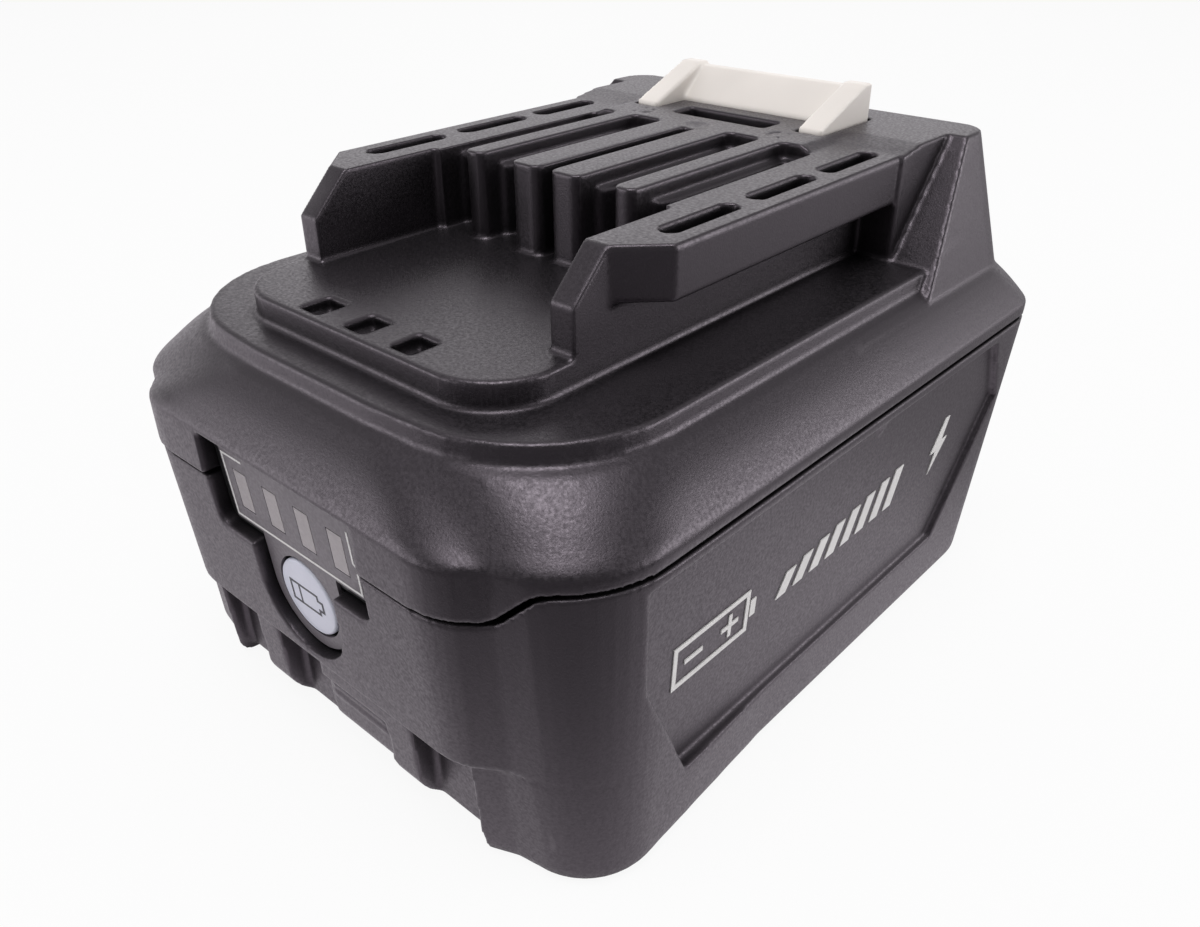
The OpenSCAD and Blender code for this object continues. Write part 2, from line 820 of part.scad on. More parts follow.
// Latch: places of the hook and of its opening in the deck
hook_y0 = y_rear - wedge_set;
bar_y = hook_y0 + wedge_l;
hook_y1 = bar_y + bar_l;
bar_h_set = 0.4;
latch_x = hook_x + 1.8;
latch_y0 = bar_y - 1.5;
latch_y1 = hook_y1 + 1.7;
deck_under = deck_z - deck_t;
latch_top = deck_under - 0.25;
latch_low = roof_in + latch_travel + 0.9;
release_top = deck_z - 3.1;
release_low = release_top - release_h;
release_open_low = release_low - latch_travel - 0.6;
release_stand = 0.4;
flap_t = 1.2;
flap_y = holder_y1 + 0.5;
flap_low = release_low - 2 * latch_travel;
spring_x = 8;
spring_y = (bar_y + hook_y1) / 2;
spring_top = deck_z - 3.6;
spring_pocket_d = spring_d + 0.8;

// Plan of the hook: two wedges joined by the bar behind them
module hook_plan(grow) {
    translate([-hook_x - grow, bar_y - grow])
        square([2 * (hook_x + grow), hook_y1 - bar_y + 2 * grow]);
    both_x()
        translate([hook_x - wedge_w - grow, hook_y0 - grow])
            square([wedge_w + 2 * grow, bar_y - hook_y0 + cut]);
}

module hook_wedge(x0, x1, y0, height, foot) {
    translate([(x0 + x1) / 2, 0, 0])
        along_x(x1 - x0)
            polygon([
                [y0, deck_z - cut], [y0, deck_z + foot], [hook_y1 - 1.5, deck_z + height],
                [hook_y1, deck_z + height], [hook_y1, deck_z - cut]]);
}

module latch() {
    color("#f1ece4")
        difference() {
            union() {
                translate([0, 0, latch_low + cut])
                    linear_extrude(deck_z - latch_low - cut)
                        hook_plan(0);
                both_x()
                    hook_wedge(hook_x - wedge_w, hook_x, hook_y0, hook_h, 0.3);
                hook_wedge(-hook_x + wedge_w - cut, hook_x - wedge_w + cut, bar_y, hook_h - bar_h_set, 0.2);
                box([-latch_x, latch_y0, latch_low], [latch_x, latch_y1, latch_top]);
                along_x(2 * release_x)
                    polygon([
                        [latch_y1 - cut, release_top], [tower_back(release_top) + release_stand, release_top],
                        [tower_back(release_low) + release_stand, release_low], [flap_y, release_low],
                        [flap_y, latch_low], [latch_y1 - cut, latch_low]]);
                box([-release_x, flap_y, flap_low], [release_x, flap_y + flap_t, release_low + cut]);
            }
            for (x = [-spring_x, spring_x])
                translate([x, spring_y, latch_low - cut])
                    cylinder(d = spring_pocket_d, h = spring_top - latch_low + cut);
            release_grooves();
        }
}

// Finger grooves across the release button
module release_grooves() {
    groove_r = 0.7;
    for (i = [1:4]) {
        z = release_low + i * (release_top - release_low) / 5;
        translate([-release_x + 2, tower_back(z) + release_stand + 0.25, z])
            rotate([0, 90, 0])
                cylinder(r = groove_r, h = 2 * release_x - 4);
    }
}

// Wound compression spring swept along a helix, with closed flat end turns
spring_sides = 6;
spring_rings = 10;
spring_low = holder_z1 + contact_play;
spring_r = (spring_d - spring_wire) / 2;
spring_span = spring_top - spring_low - spring_wire - 2 * contact_play;
helix_n = spring_turns * spring_rings;
function helix_z(i) = spring_low + contact_play + spring_wire / 2 + spring_span * i / helix_n;
function helix_ring(i) = let (a = 360 * i / spring_rings)
    [for (s = [0:spring_sides - 1]) let (t = 360 * s / spring_sides, r = spring_r + spring_wire / 2 * cos(t))
        [r * cos(a), r * sin(a), helix_z(i) + spring_wire / 2 * sin(t)]];

module latch_spring(x) {
    n = spring_sides;
    color("#b9babd")
        translate([x, spring_y, 0])
            polyhedron(
                points = [for (i = [0:helix_n]) each helix_ring(i)],
                faces = concat(
                    [[for (s = [0:n - 1]) s]],
                    [for (i = [0:helix_n - 1]) for (s = [0:n - 1]) let (t = (s + 1) % n)
                        each [[i * n + s, i * n + n + s, i * n + n + t], [i * n + s, i * n + n + t, i * n + t]]],
                    [[for (s = [n - 1:-1:0]) helix_n * n + s]]));
}

module latch_spring_left() {
    latch_spring(-spring_x);
}

module latch_spring_right() {
    latch_spring(spring_x);
}

// Guides that hold the latch sideways inside the tower
module latch_guides() {
    both_x()
        box([latch_x + latch_clear, latch_y0, latch_low], [latch_x + latch_clear + 2, latch_y1, deck_under + cut]);
}

// Space for the board under the bay floor, open to the tower
pan_x = bay_x + 0.5;
pan_y0 = tongue_y + 1.2;
pan_r = 4;
tower_in_x = 22;
tower_in_y0 = block_y1 + 0.2;
wide_in_y0 = ramp_y0 + wall;

module inner_spaces() {
    translate([0, 0, roof_in - cut])
        linear_extrude(bay_z - roof_t - roof_in + cut)
            rounded_front(pan_x, pan_y0, tower_in_y0 + cut, pan_r);
    box([-pan_x, tower_in_y0, roof_in - cut], [pan_x, wide_in_y0 + cut, deck_under]);
    along_x(2 * tower_in_x)
        polygon([
            [wide_in_y0, roof_in - cut], [wide_in_y0, deck_under], [tower_back(deck_under) - wall, deck_under],
            [tower_back(roof_in - cut) - wall, roof_in - cut]]);
}

// Marks on the deck: a cross slot, two ring grooves and a shallow dish
cross_x = 6.5;
cross_y0 = y_rear - 23;
cross_y1 = y_rear - 19.3;
cross_depth = 2.6;
ring_x = 9.8;
ring_y = y_rear - 24.6;
ring_d = 2.8;
dish_y = y_rear - 27;
dish_r = 6;
dish_depth = 0.25;

module cross_slot() {
    box([-cross_x, cross_y0, deck_z - cross_depth], [cross_x, cross_y1, deck_z + cut]);
}

module deck_marks() {
    both_x()
        translate([ring_x, ring_y, deck_z - 0.3])
            difference() {
                cylinder(d = ring_d, h = cut);
                translate([0, 0, -cut])
                    cylinder(d = ring_d - 0.8, h = 3 * cut);
            }
    translate([0, dish_y, deck_z + dish_r - dish_depth])
        sphere(r = dish_r);
}

// Three small blind holes in the bay floor
floor_hole_pitch = 6.6;
floor_hole = [2.9, 3.3];
floor_hole_y = tongue_y + 2.8;
floor_hole_depth = 1.4;

module floor_holes() {
    for (i = [-1:1])
        translate([i * floor_hole_pitch - floor_hole[0] / 2, floor_hole_y - floor_hole[1] / 2, bay_z - floor_hole_depth])
            cube([floor_hole[0], floor_hole[1], floor_hole_depth + cut]);
}

// Contacts: places along Y and the windows that they pass through
contact_y0 = shelf_y0 + 6;
contact_l = 10;
contact_clear = 0.5;

module contact_windows() {
    both_x()
        for (x = gap_centres)
            box([x - blade_gap / 2, contact_y0 - contact_clear, roof_in],
                [x + blade_gap / 2, contact_y0 + contact_l + contact_clear, bay_z + cut]);
}

// Board screws go up into the inner ribs
board_screw_d = 1.6;
board_screw_x = rib_in_x + rib_in_w / 2;
board_screw_y = contact_y0 + 1;
board_screw_l = 6;
board_head_d = 2.6;

module upper_case() {
    color("#343135")
        difference() {
            union() {
                difference() {
                    union() {
                        skirt();
                        tower();
                        tongue();
                        deck();
                        terminal_ribs();
                        both_x()
                            rail();
                    }
                    skirt_cavity();
                    inner_spaces();
                    below_seam();
                    blade_gaps();
                    slot_tops();
                    gauge_frame() {
                        along_y(-cut, housing_rim_y + 3)
                            window_outline(0);
                        along_y(housing_rim_y, housing_rim_y + 3)
                            window_outline(housing_rim + play);
                    }
                }
                box([-cross_x - 1.5, cross_y0 - 1.5, deck_under - 1.8], [cross_x + 1.5, cross_y1 + 1.2, deck_under + 0.2]);
                latch_guides();
                intersection() {
                    skirt();
                    screw_places()
                        translate([0, 0, post_top + play])
                            cylinder(r = post_r, h = terrace_z - post_top);
                }
                both_x()
                    box([tab_x0, tab_y - tab_t, tab_z0], [tab_x0 + tab_w, tab_y, cover_band_z]);
                both_x()
                    box([tab_x0, tab_y - tab_t, cover_band_z - cut], [tab_x0 + tab_w, y_rear - wall, cover_band_z + cut]);
                rear_catch(0);
            }
            both_x()
                rail_slots();
            floor_holes();
            cross_slot();
            deck_marks();
            contact_windows();
            translate([0, 0, latch_low])
                linear_extrude(deck_z)
                    hook_plan(latch_clear);
            box([-release_x - latch_clear, latch_y1 - cut, release_open_low],
                [release_x + latch_clear, y_rear + cut, release_top + latch_clear]);
            box([-release_x - latch_clear, holder_y1 - cut, flap_low - latch_travel - cut],
                [release_x + latch_clear, flap_y + flap_t + latch_clear, release_open_low + cut]);
            screw_places()
                translate([0, 0, post_top - cut])
                    cylinder(d = screw_d + 2 * contact_play, h = screw_seat_z + screw_l - post_top + 2 * cut);
            both_x()
                translate([board_screw_x, board_screw_y, roof_in])
                    cylinder(d = board_screw_d + 2 * contact_play, h = board_screw_l + board_t + 2 * cut);
        }
}

// Gauge: housing behind the window, overlay, button, light pipes, board, switch and lights
module gauge_housing() {
    color("#242226")
        gauge_frame()
            difference() {
                union() {
                    along_y(housing_y0, housing_y1)
                        window_outline(-play);
                    along_y(housing_rim_y, housing_y1)
                        difference() {
                            window_outline(housing_rim);
                            translate([-window_x, -2 * window_r])
                                square([2 * window_x, window_r + 0.8]);
                        }
                }
                bars(housing_y0 - cut, housing_y1 + cut, contact_play);
                rotate([-90, 0, 0]) {
                    cylinder(d = button_d + 2 * button_gap, h = housing_y0 + 0.9);
                    cylinder(d = stem_d + 2 * button_gap, h = housing_y1 + cut);
                }
                box([-switch_size / 2 - play, switch_y - play, -switch_size / 2 - play],
                    [switch_size / 2 + play, housing_y1 + cut, switch_size / 2 + play]);
            }
}

module gauge_overlay() {
    color("#6b656c")
        gauge_frame()
            difference() {
                along_y(overlay_set, overlay_set + overlay_t)
                    overlay_outline();
                bars(overlay_set - cut, overlay_set + overlay_t + cut, contact_play);
                rotate([-90, 0, 0])
                    cylinder(d = button_d + 2 * button_gap, h = overlay_set + overlay_t + cut);
            }
}

module gauge_button() {
    color("#d3d2e4")
        gauge_frame()
            rotate([-90, 0, 0]) {
                translate([0, 0, button_face])
                    cylinder(d = button_d, h = housing_y0 + 0.3 - button_face);
                translate([0, 0, button_face])
                    cylinder(d = stem_d, h = stem_end - button_face);
            }
}

module light_pipes() {
    color("#a49ca2")
        gauge_frame()
            bars(overlay_set, board_y0 - led_h - contact_play, 0);
}

module gauge_board() {
    board_x = window_x - 0.6;
    color("#1f5a3a")
        gauge_frame()
            box([-board_x, board_y0, -window_r + 0.5], [board_x, board_y1, window_top - 0.6]);
}

module gauge_leds() {
    led = [1.6, 0.9];
    color("#f2efd6")
        gauge_frame()
            bar_places()
                box([-led[0] / 2, board_y0 - led_h, -led[1] / 2], [led[0] / 2, board_y0, led[1] / 2]);
}

module tact_switch() {
    color("#8c8f94")
        gauge_frame() {
            box([-switch_size / 2, switch_y, -switch_size / 2], [switch_size / 2, board_y0, switch_size / 2]);
            rotate([-90, 0, 0])
                translate([0, 0, stem_end + button_travel + contact_play])
                    cylinder(d = stem_d - 0.4, h = 1);
        }
}

// Flat lead from the gauge board up to the front of the main board
lead_w = 8;
lead_t = 0.3;
board_y_front = cells_y0 + 2.4;
board_z0 = roof_in + 0.4;
board_z1 = board_z0 + board_t;

module gauge_lead() {
    start_y = gauge_y + board_y1 / cos(front_tilt);
    start_z = button_z + label_z - 1;
    lean_y = -tan(front_tilt) * label_z;
    color("#c9a24a")
        along_x(lead_w)
            polygon([
                [start_y + lean_y + 0.15, start_z], [start_y + lean_y + 0.15 + lead_t, start_z],
                [pan_y0 + 0.3 + lead_t, board_z0 - 2], [pan_y0 + 0.3 + lead_t, board_z1 + contact_play],
                [board_y_front + 2, board_z1 + contact_play], [board_y_front + 2, board_z1 + contact_play + lead_t],
                [pan_y0 + 0.3, board_z1 + contact_play + lead_t], [pan_y0 + 0.3, board_z0 - 2]]);
}

// Cells: can with a rolled groove near the positive end and a raised cap
can_groove = 0.5;

module cell(column, row, flipped) {
    z = row == 0 ? row_1_z : row_2_z;
    start = flipped ? cells_y1 : cells_y0;
    turn = flipped ? 90 : -90;
    color(row == 0 ? "#3f7fae" : "#4588b8")
        translate([column * cell_pitch, start, z])
            rotate([turn, 0, 0])
                rotate_extrude()
                    polygon([
                        [0, 0], [cell_d / 2, 0], [cell_d / 2, cell_l - 4],
                        [cell_d / 2 - can_groove, cell_l - 3.2], [cell_d / 2, cell_l - 2.4],
                        [cell_d / 2, cell_l], [cell_d / 6, cell_l], [cell_d / 6, cell_l + cap_h], [0, cell_l + cap_h]]);
}

module cell_1() {
    cell(-1, 0, true);
}

module cell_2() {
    cell(0, 0, false);
}

module cell_3() {
    cell(1, 0, true);
}

module cell_4() {
    cell(-1, 1, true);
}

module cell_5() {
    cell(0, 1, false);
}

module cell_6() {
    cell(1, 1, true);
}

// Holder outline in the XZ plane
module holder_outline() {
    intersection() {
        union() {
            for (column = [-1:1])
                for (z = [row_1_z, row_2_z])
                    translate([column * cell_pitch, z])
                        circle(r = cell_d / 2 + holder_wall);
            translate([-cell_pitch, holder_z0])
                square([2 * cell_pitch, holder_z1 - holder_z0]);
            translate([-cell_pitch - cell_d / 2 - holder_wall, row_1_z])
                square([2 * cell_pitch + cell_d + 2 * holder_wall, row_pitch]);
        }
        translate([-half_w, holder_z0])
            square([2 * half_w, holder_z1 - holder_z0]);
    }
}

// Holder with cell pockets from y_in to y_out and a recess for the strips
module cell_holder(y_out, y_in, seat) {
    cell_play = 0.1;
    tab_gap = 1;
    low = min(y_out, y_in);
    high = max(y_out, y_in);
    strip_face = seat > y_out ? y_out + holder_end : y_out - holder_end;
    strip_reach = cell_pitch + strip_w / 2 + tab_gap;
    difference() {
        along_y(low, high)
            holder_outline();
        for (column = [-1:1])
            for (z = [row_1_z, row_2_z])
                translate([column * cell_pitch, min(seat, y_in) - (seat > y_in ? cut : 0), z])
                    rotate([-90, 0, 0])
                        cylinder(d = cell_d + 2 * cell_play, h = abs(seat - y_in) + cut);
        for (column = [-1:1])
            for (z = [row_1_z, row_2_z])
                translate([column * cell_pitch, low - cut, z])
                    rotate([-90, 0, 0])
                        cylinder(d = strip_w, h = high - low + 2 * cut);
        box([-strip_reach, min(seat, strip_face), row_1_z - strip_w / 2 - tab_gap],
            [strip_reach, max(seat, strip_face), holder_z1 + cut]);
    }
}

module cell_holder_front() {
    color("#d9d4c6")
        cell_holder(holder_y0, cells_y0 + holder_grip, cells_y0);
}

// The rear holder also carries the pegs that centre the latch springs
module cell_holder_rear() {
    peg_d = spring_d - 2 * spring_wire - 0.8;
    peg_h = 2.4;
    peg_root = 1.5;
    color("#d9d4c6") {
        cell_holder(holder_y1, cells_y1 - holder_grip, cells_y1);
        for (x = [-spring_x, spring_x])
            translate([x, spring_y, holder_z1 - peg_root])
                cylinder(d = peg_d, h = peg_root + peg_h);
    }
}

// Strips welded to the cell ends, with tabs up to the main board
module strip(x0, x1, y) {
    box([x0 - strip_w / 2, y, row_1_z - strip_w / 2], [x1 + strip_w / 2, y + strip_t, row_2_z + strip_w / 2]);
}

module strip_front_pair() {
    color("#c4c3bd")
        strip(-cell_pitch, 0, cells_y0 - strip_t);
}

module strip_front_positive() {
    tab_w = 3;
    tab_x = pan_x - 4;
    strip_in = cell_pitch - strip_w / 2;
    tab_top = board_z1 + strip_t;
    color("#c4c3bd") {
        strip(cell_pitch, cell_pitch, cells_y0 - strip_t);
        along_y(cells_y0 - strip_t, cells_y0)
            polygon([
                [strip_in, row_2_z], [strip_in + tab_w, row_2_z], [tab_x + tab_w, holder_z1], [tab_x + tab_w, tab_top],
                [tab_x, tab_top], [tab_x, holder_z1]]);
        box([tab_x, cells_y0 - strip_t, board_z1], [tab_x + tab_w, board_y_front + 2, tab_top]);
    }
}

module strip_rear_pair() {
    color("#c4c3bd")
        strip(0, cell_pitch, cells_y1);
}

module strip_rear_negative() {
    tab_z = board_z0 - strip_t;
    run_w = 3;
    run_x = -latch_x - latch_clear - 2 * run_w;
    lane_x = -pan_x + 2;
    lane_y = wide_in_y0 + 1;
    color("#c4c3bd") {
        strip(-cell_pitch, -cell_pitch, cells_y1);
        box([run_x, cells_y1, row_2_z], [run_x + run_w, cells_y1 + strip_t, tab_z + strip_t]);
        translate([0, 0, tab_z])
            linear_extrude(strip_t)
                polygon([
                    [run_x, cells_y1 + strip_t], [run_x + run_w, cells_y1 + strip_t], [run_x + run_w, lane_y + run_w],
                    [lane_x + run_w, lane_y + run_w], [lane_x + run_w, board_y_rear - run_w],
                    [lane_x, board_y_rear - run_w], [lane_x, lane_y], [run_x, lane_y]]);
    }
}

// Sheet that keeps the board off the cells
module insulation_sheet() {
    sheet_t = 0.3;
    sheet_z = row_2_z + cell_d / 2 + contact_play / 2;
    color("#c9b899")
        difference() {
            box([-pan_x + 1, cells_y0 + holder_grip + 0.5, sheet_z], [pan_x - 1, board_y_rear, sheet_z + sheet_t]);
            both_x()
                translate([board_screw_x, board_screw_y, sheet_z - cut])
                    cylinder(d = board_head_d + 1, h = sheet_t + 2 * cut);
            translate([bead_x, bead_y, sheet_z - cut])
                cylinder(d = bead_d, h = sheet_t + 2 * cut);
        }
}

// Main board under the bay floor
board_x = pan_x - 0.4;
board_y_rear = tower_in_y0 - 0.6;

module main_board() {
    color("#1f5a3a")
        difference() {
            box([-board_x, board_y_front, board_z0], [board_x, board_y_rear, board_z1]);
            both_x()
                translate([board_screw_x, board_screw_y, board_z0 - cut])
                    cylinder(d = board_screw_d + 2 * contact_play, h = board_t + 2 * cut);
        }
}

// Chips on the board: three large ones in a row, two small ones behind them, and the fuse
chip_h = 0.5;
chip_size = 5;
chip_pitch = 9;
chip_y = board_y_front + 8;
small_chip = [1.6, 3];
small_pitch = 5;
small_y = chip_y + chip_size + 4;
fuse_size = [4, 3];
fuse_x = pan_x - 2 * fuse_size[0];

module board_chips() {
    color("#1b1b1d") {
        for (i = [-1:1])
            translate([i * chip_pitch - chip_size / 2, chip_y, board_z1])
                cube([chip_size, chip_size, chip_h]);
        for (side = [-1, 1])
            translate([side * small_pitch / 2 - small_chip[0] / 2, small_y, board_z1])
                cube([small_chip[0], small_chip[1], chip_h]);
    }
}

module fuse() {
    color("#cfcac0")
        translate([fuse_x, small_y - 1, board_z1])
            cube([fuse_size[0], fuse_size[1], chip_h]);
}

// Fork contact: a foot on the board and two leaves that pinch the tool's blade
module contact(x) {
    leaf_z = shelf_z - 1.4;
    half = blade_gap / 2 - contact_play;
    foot_z = board_z1 + leaf_t;
    box([x - half, contact_y0, board_z1], [x + half, contact_y0 + contact_l, foot_z]);
    for (side = [-1, 1])
        translate([x, 0, 0])
            along_y(contact_y0, contact_y0 + contact_l)
                polygon([
                    [side * half, board_z1], [side * half, bay_z], [side * (half - leaf_t / 2), leaf_z - 1.5],
                    [side * half, leaf_z], [side * (half - leaf_t), leaf_z],
                    [side * (half - 1.5 * leaf_t), leaf_z - 1.5], [side * (half - leaf_t), bay_z],
                    [side * (half - leaf_t), board_z1]]);
}

module contact_positive() {
    color("#c8a35a")
        contact(-gap_centres[1]);
}

module contact_negative() {
    color("#c8a35a")
        contact(gap_centres[1]);
}

module signal_contacts() {
    color("#c8a35a")
        for (side = [-1, 1])
            contact(side * gap_centres[0]);
}

// Temperature bead in the valley between two upper cells
bead_d = 2.4;
bead_x = cell_pitch / 2;
bead_y = (cells_y0 + cells_y1) / 2 - 12;

module thermistor() {
    valley = sqrt(pow(cell_d / 2 + bead_d / 2 + 0.1, 2) - pow(cell_pitch / 2, 2));
    color("#20201f")
        translate([bead_x, bead_y, row_2_z + valley]) {
            sphere(d = bead_d);
            for (y = [-0.5, 0.5])
                translate([0, y, 0])
                    cylinder(d = 0.4, h = board_z0 - row_2_z - valley);
        }
}

// Screws
module case_screws() {
    color("#8d9095")
        screw_places()
            difference() {
                union() {
                    translate([0, 0, screw_seat_z - screw_head_h])
                        cylinder(d = screw_head_d, h = screw_head_h);
                    translate([0, 0, screw_seat_z - cut])
                        cylinder(d = screw_d, h = screw_l + cut);
                }
                translate([0, 0, screw_seat_z - screw_head_h - cut])
                    cylinder(d = 2.2, h = cut + 1.2, $fn = 6);
            }
}

module board_screws() {
    head_h = 0.8;
    color("#8d9095")
        both_x()
            translate([board_screw_x, board_screw_y, board_z0]) {
                translate([0, 0, -head_h])
                    cylinder(d = board_head_d, h = head_h);
                translate([0, 0, -cut / 2])
                    cylinder(d = board_screw_d, h = board_screw_l + cut / 2);
            }
}

// Foam pad behind the rear holder
module rear_pad() {
    pad_t = 1;
    color("#4b4b4d")
        box([-cell_pitch, holder_y1, row_1_z], [cell_pitch, holder_y1 + pad_t, row_2_z - cell_d / 6]);
}

lower_case();
upper_case();
latch();
latch_spring_left();
latch_spring_right();
gauge_housing();
gauge_overlay();
gauge_button();
light_pipes();
gauge_board();
gauge_leds();
tact_switch();
gauge_lead();
cell_1();
cell_2();
cell_3();
cell_4();
cell_5();
cell_6();
cell_holder_front();
cell_holder_rear();
strip_front_pair();
strip_front_positive();
strip_rear_pair();
strip_rear_negative();
insulation_sheet();
main_board();
board_chips();
fuse();
contact_positive();
contact_negative();
signal_contacts();
thermistor();
case_screws();
board_screws();
rear_pad();
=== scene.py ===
"""Slide-on battery pack for a hand-held power tool: looks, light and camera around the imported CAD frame.

Lengths are in metres in the CAD frame: +Z up, -Y towards the charge gauge, +X to the right-hand side.
"""
import json
import math

import bmesh
import bpy
from mathutils import Matrix, Vector


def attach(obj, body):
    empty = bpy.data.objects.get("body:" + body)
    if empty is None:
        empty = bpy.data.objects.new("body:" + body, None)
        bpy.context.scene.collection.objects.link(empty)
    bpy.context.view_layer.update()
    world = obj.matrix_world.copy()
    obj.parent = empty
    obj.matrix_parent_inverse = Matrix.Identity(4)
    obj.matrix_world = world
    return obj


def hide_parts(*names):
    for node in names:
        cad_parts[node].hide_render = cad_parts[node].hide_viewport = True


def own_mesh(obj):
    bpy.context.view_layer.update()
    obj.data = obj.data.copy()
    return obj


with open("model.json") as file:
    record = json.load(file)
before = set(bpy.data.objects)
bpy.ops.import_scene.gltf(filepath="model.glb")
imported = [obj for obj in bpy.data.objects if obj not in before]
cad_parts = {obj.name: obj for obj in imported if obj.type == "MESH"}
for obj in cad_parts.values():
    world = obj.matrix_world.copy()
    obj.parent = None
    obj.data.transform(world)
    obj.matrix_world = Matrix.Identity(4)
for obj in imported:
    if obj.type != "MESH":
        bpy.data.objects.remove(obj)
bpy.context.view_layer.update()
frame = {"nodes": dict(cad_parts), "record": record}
nodes = frame["nodes"]

MM = 0.001

# Places shared with the CAD source
Y_FRONT = -43.5 * MM
HALF_W = 33.7 * MM
SEAM_Z = 34.0 * MM
FRONT_DRAFT = 2.3 * MM
SIDE_DRAFT = 1.6 * MM
BUTTON_Z = 20.5 * MM
BUTTON_D = 8.4 * MM
BUTTON_FACE = 1.0 * MM
BUTTON_SKIRT = 1.8 * MM
STEM_D = 3.0 * MM
STEM_END = 2.5 * MM
OVERLAY_FACE = 1.15 * MM
FIELD_LOW = 8.0 * MM
FIELD_D = 0.8 * MM

# The gauge's own frame: its Y axis runs into the leaning front face
FRONT_TILT = math.atan(FRONT_DRAFT / SEAM_Z)
GAUGE_Y = Y_FRONT + FRONT_DRAFT * (SEAM_Z - BUTTON_Z) / SEAM_Z
GAUGE = Matrix.Translation((0.0, GAUGE_Y, BUTTON_Z)) @ Matrix.Rotation(FRONT_TILT, 4, "X")

# Camera solved from the photograph, for a picture 1200 pixels wide
CAMERA_PLACE = Vector((72.6, -80.4, 81.3)) * MM
CAMERA_YAW = math.radians(42.12)
CAMERA_PITCH = math.radians(30.70)
CAMERA_ROLL = math.radians(-0.26)
CAMERA_NEAR = 5.0 * MM
FOCAL_PIXELS = 1026.0
PICTURE_WIDTH = 1200.0
SENSOR = 36.0

# The middle span of a noise texture, which colours and gloss are spread over
NOISE_LOW = 0.3
NOISE_HIGH = 0.7
BLACK = (0.0, 0.0, 0.0)
WHITE = (1.0, 1.0, 1.0)


# Shader helpers
def new_material(name):
    material = bpy.data.materials.new(name)
    material.use_nodes = True
    tree = material.node_tree
    tree.nodes.clear()
    output = tree.nodes.new("ShaderNodeOutputMaterial")
    shader = tree.nodes.new("ShaderNodeBsdfPrincipled")
    tree.links.new(shader.outputs["BSDF"], output.inputs["Surface"])
    return material, tree, shader


def noise(tree, scale, detail, rough=0.5, stretch=(1.0, 1.0, 1.0)):
    coords = tree.nodes.new("ShaderNodeTexCoord")
    mapping = tree.nodes.new("ShaderNodeMapping")
    mapping.inputs["Scale"].default_value = stretch
    texture = tree.nodes.new("ShaderNodeTexNoise")
    texture.inputs["Scale"].default_value = scale
    texture.inputs["Detail"].default_value = detail
    texture.inputs["Roughness"].default_value = rough
    tree.links.new(coords.outputs["Object"], mapping.inputs["Vector"])
    tree.links.new(mapping.outputs["Vector"], texture.inputs["Vector"])
    return texture.outputs["Fac"]


def ramp(tree, value, low, high, low_colour, high_colour):
    node = tree.nodes.new("ShaderNodeValToRGB")
    node.color_ramp.elements[0].position = low
    node.color_ramp.elements[0].color = (*low_colour, 1.0)
    node.color_ramp.elements[1].position = high
    node.color_ramp.elements[1].color = (*high_colour, 1.0)
    tree.links.new(value, node.inputs["Fac"])
    return node.outputs["Color"]


def spread(tree, value, low, high):
    """A noise value spread between two limits."""
    node = tree.nodes.new("ShaderNodeMapRange")
    node.inputs["From Min"].default_value = NOISE_LOW
    node.inputs["From Max"].default_value = NOISE_HIGH
    node.inputs["To Min"].default_value = low
    node.inputs["To Max"].default_value = high
    tree.links.new(value, node.inputs["Value"])
    return node.outputs["Result"]


def bump(tree, shader, height, distance, strength):
    node = tree.nodes.new("ShaderNodeBump")
    node.inputs["Distance"].default_value = distance
    node.inputs["Strength"].default_value = strength
    tree.links.new(height, node.inputs["Height"])
    tree.links.new(node.outputs["Normal"], shader.inputs["Normal"])


def product(tree, first, second):
    """One value times another, or times a number."""
    node = tree.nodes.new("ShaderNodeMath")
    node.operation = "MULTIPLY"
    tree.links.new(first, node.inputs[0])
    if isinstance(second, float):
        node.inputs[1].default_value = second
    else:
        tree.links.new(second, node.inputs[1])
    return node.outputs["Value"]


def along(tree, vector, direction):
    """How far a vector reaches along a direction."""
    node = tree.nodes.new("ShaderNodeVectorMath")
    node.operation = "DOT_PRODUCT"
    node.inputs[1].default_value = direction
    tree.links.new(vector, node.inputs[0])
    return node.outputs["Value"]


def shade(colour, factor):
    return tuple(channel * factor for channel in colour)


# Rubbed edges of the mouldings, and painted shade that dims their reflections in crevices
RUBBED_LOW = 0.53
RUBBED_HIGH = 0.62
CREVICE_SHADE_REACH = 4.0 * MM
CREVICE_SHADE_SAMPLES = 4
CREVICE_SHADE_SHUT = 0.3
CREVICE_SHADE_OPEN = 0.75
CREVICE_SHADE_LEAST = 0.05


def worn_edges(tree, colour, edge_colour):
    """Lightens the outward edges, where a moulding is rubbed."""
    geometry = tree.nodes.new("ShaderNodeNewGeometry")
    edge = ramp(tree, geometry.outputs["Pointiness"], RUBBED_LOW, RUBBED_HIGH, BLACK, WHITE)
    mix = tree.nodes.new("ShaderNodeMix")
    mix.data_type = "RGBA"
    tree.links.new(edge, mix.inputs["Factor"])
    tree.links.new(colour, mix.inputs["A"])
    mix.inputs["B"].default_value = (*edge_colour, 1.0)
    return mix.outputs["Result"]


def painted_crevice_shade(tree):
    """Painted shade: 1 on open surfaces, falling in seams, grooves and inner corners where occlusion is high.
    """
    hollow = tree.nodes.new("ShaderNodeAmbientOcclusion")
    hollow.samples = CREVICE_SHADE_SAMPLES
    hollow.inputs["Distance"].default_value = CREVICE_SHADE_REACH
    fall = tree.nodes.new("ShaderNodeMapRange")
    fall.inputs["From Min"].default_value = CREVICE_SHADE_SHUT
    fall.inputs["From Max"].default_value = CREVICE_SHADE_OPEN
    fall.inputs["To Min"].default_value = CREVICE_SHADE_LEAST
    tree.links.new(hollow.outputs["AO"], fall.inputs["Value"])
    return fall.outputs["Result"]


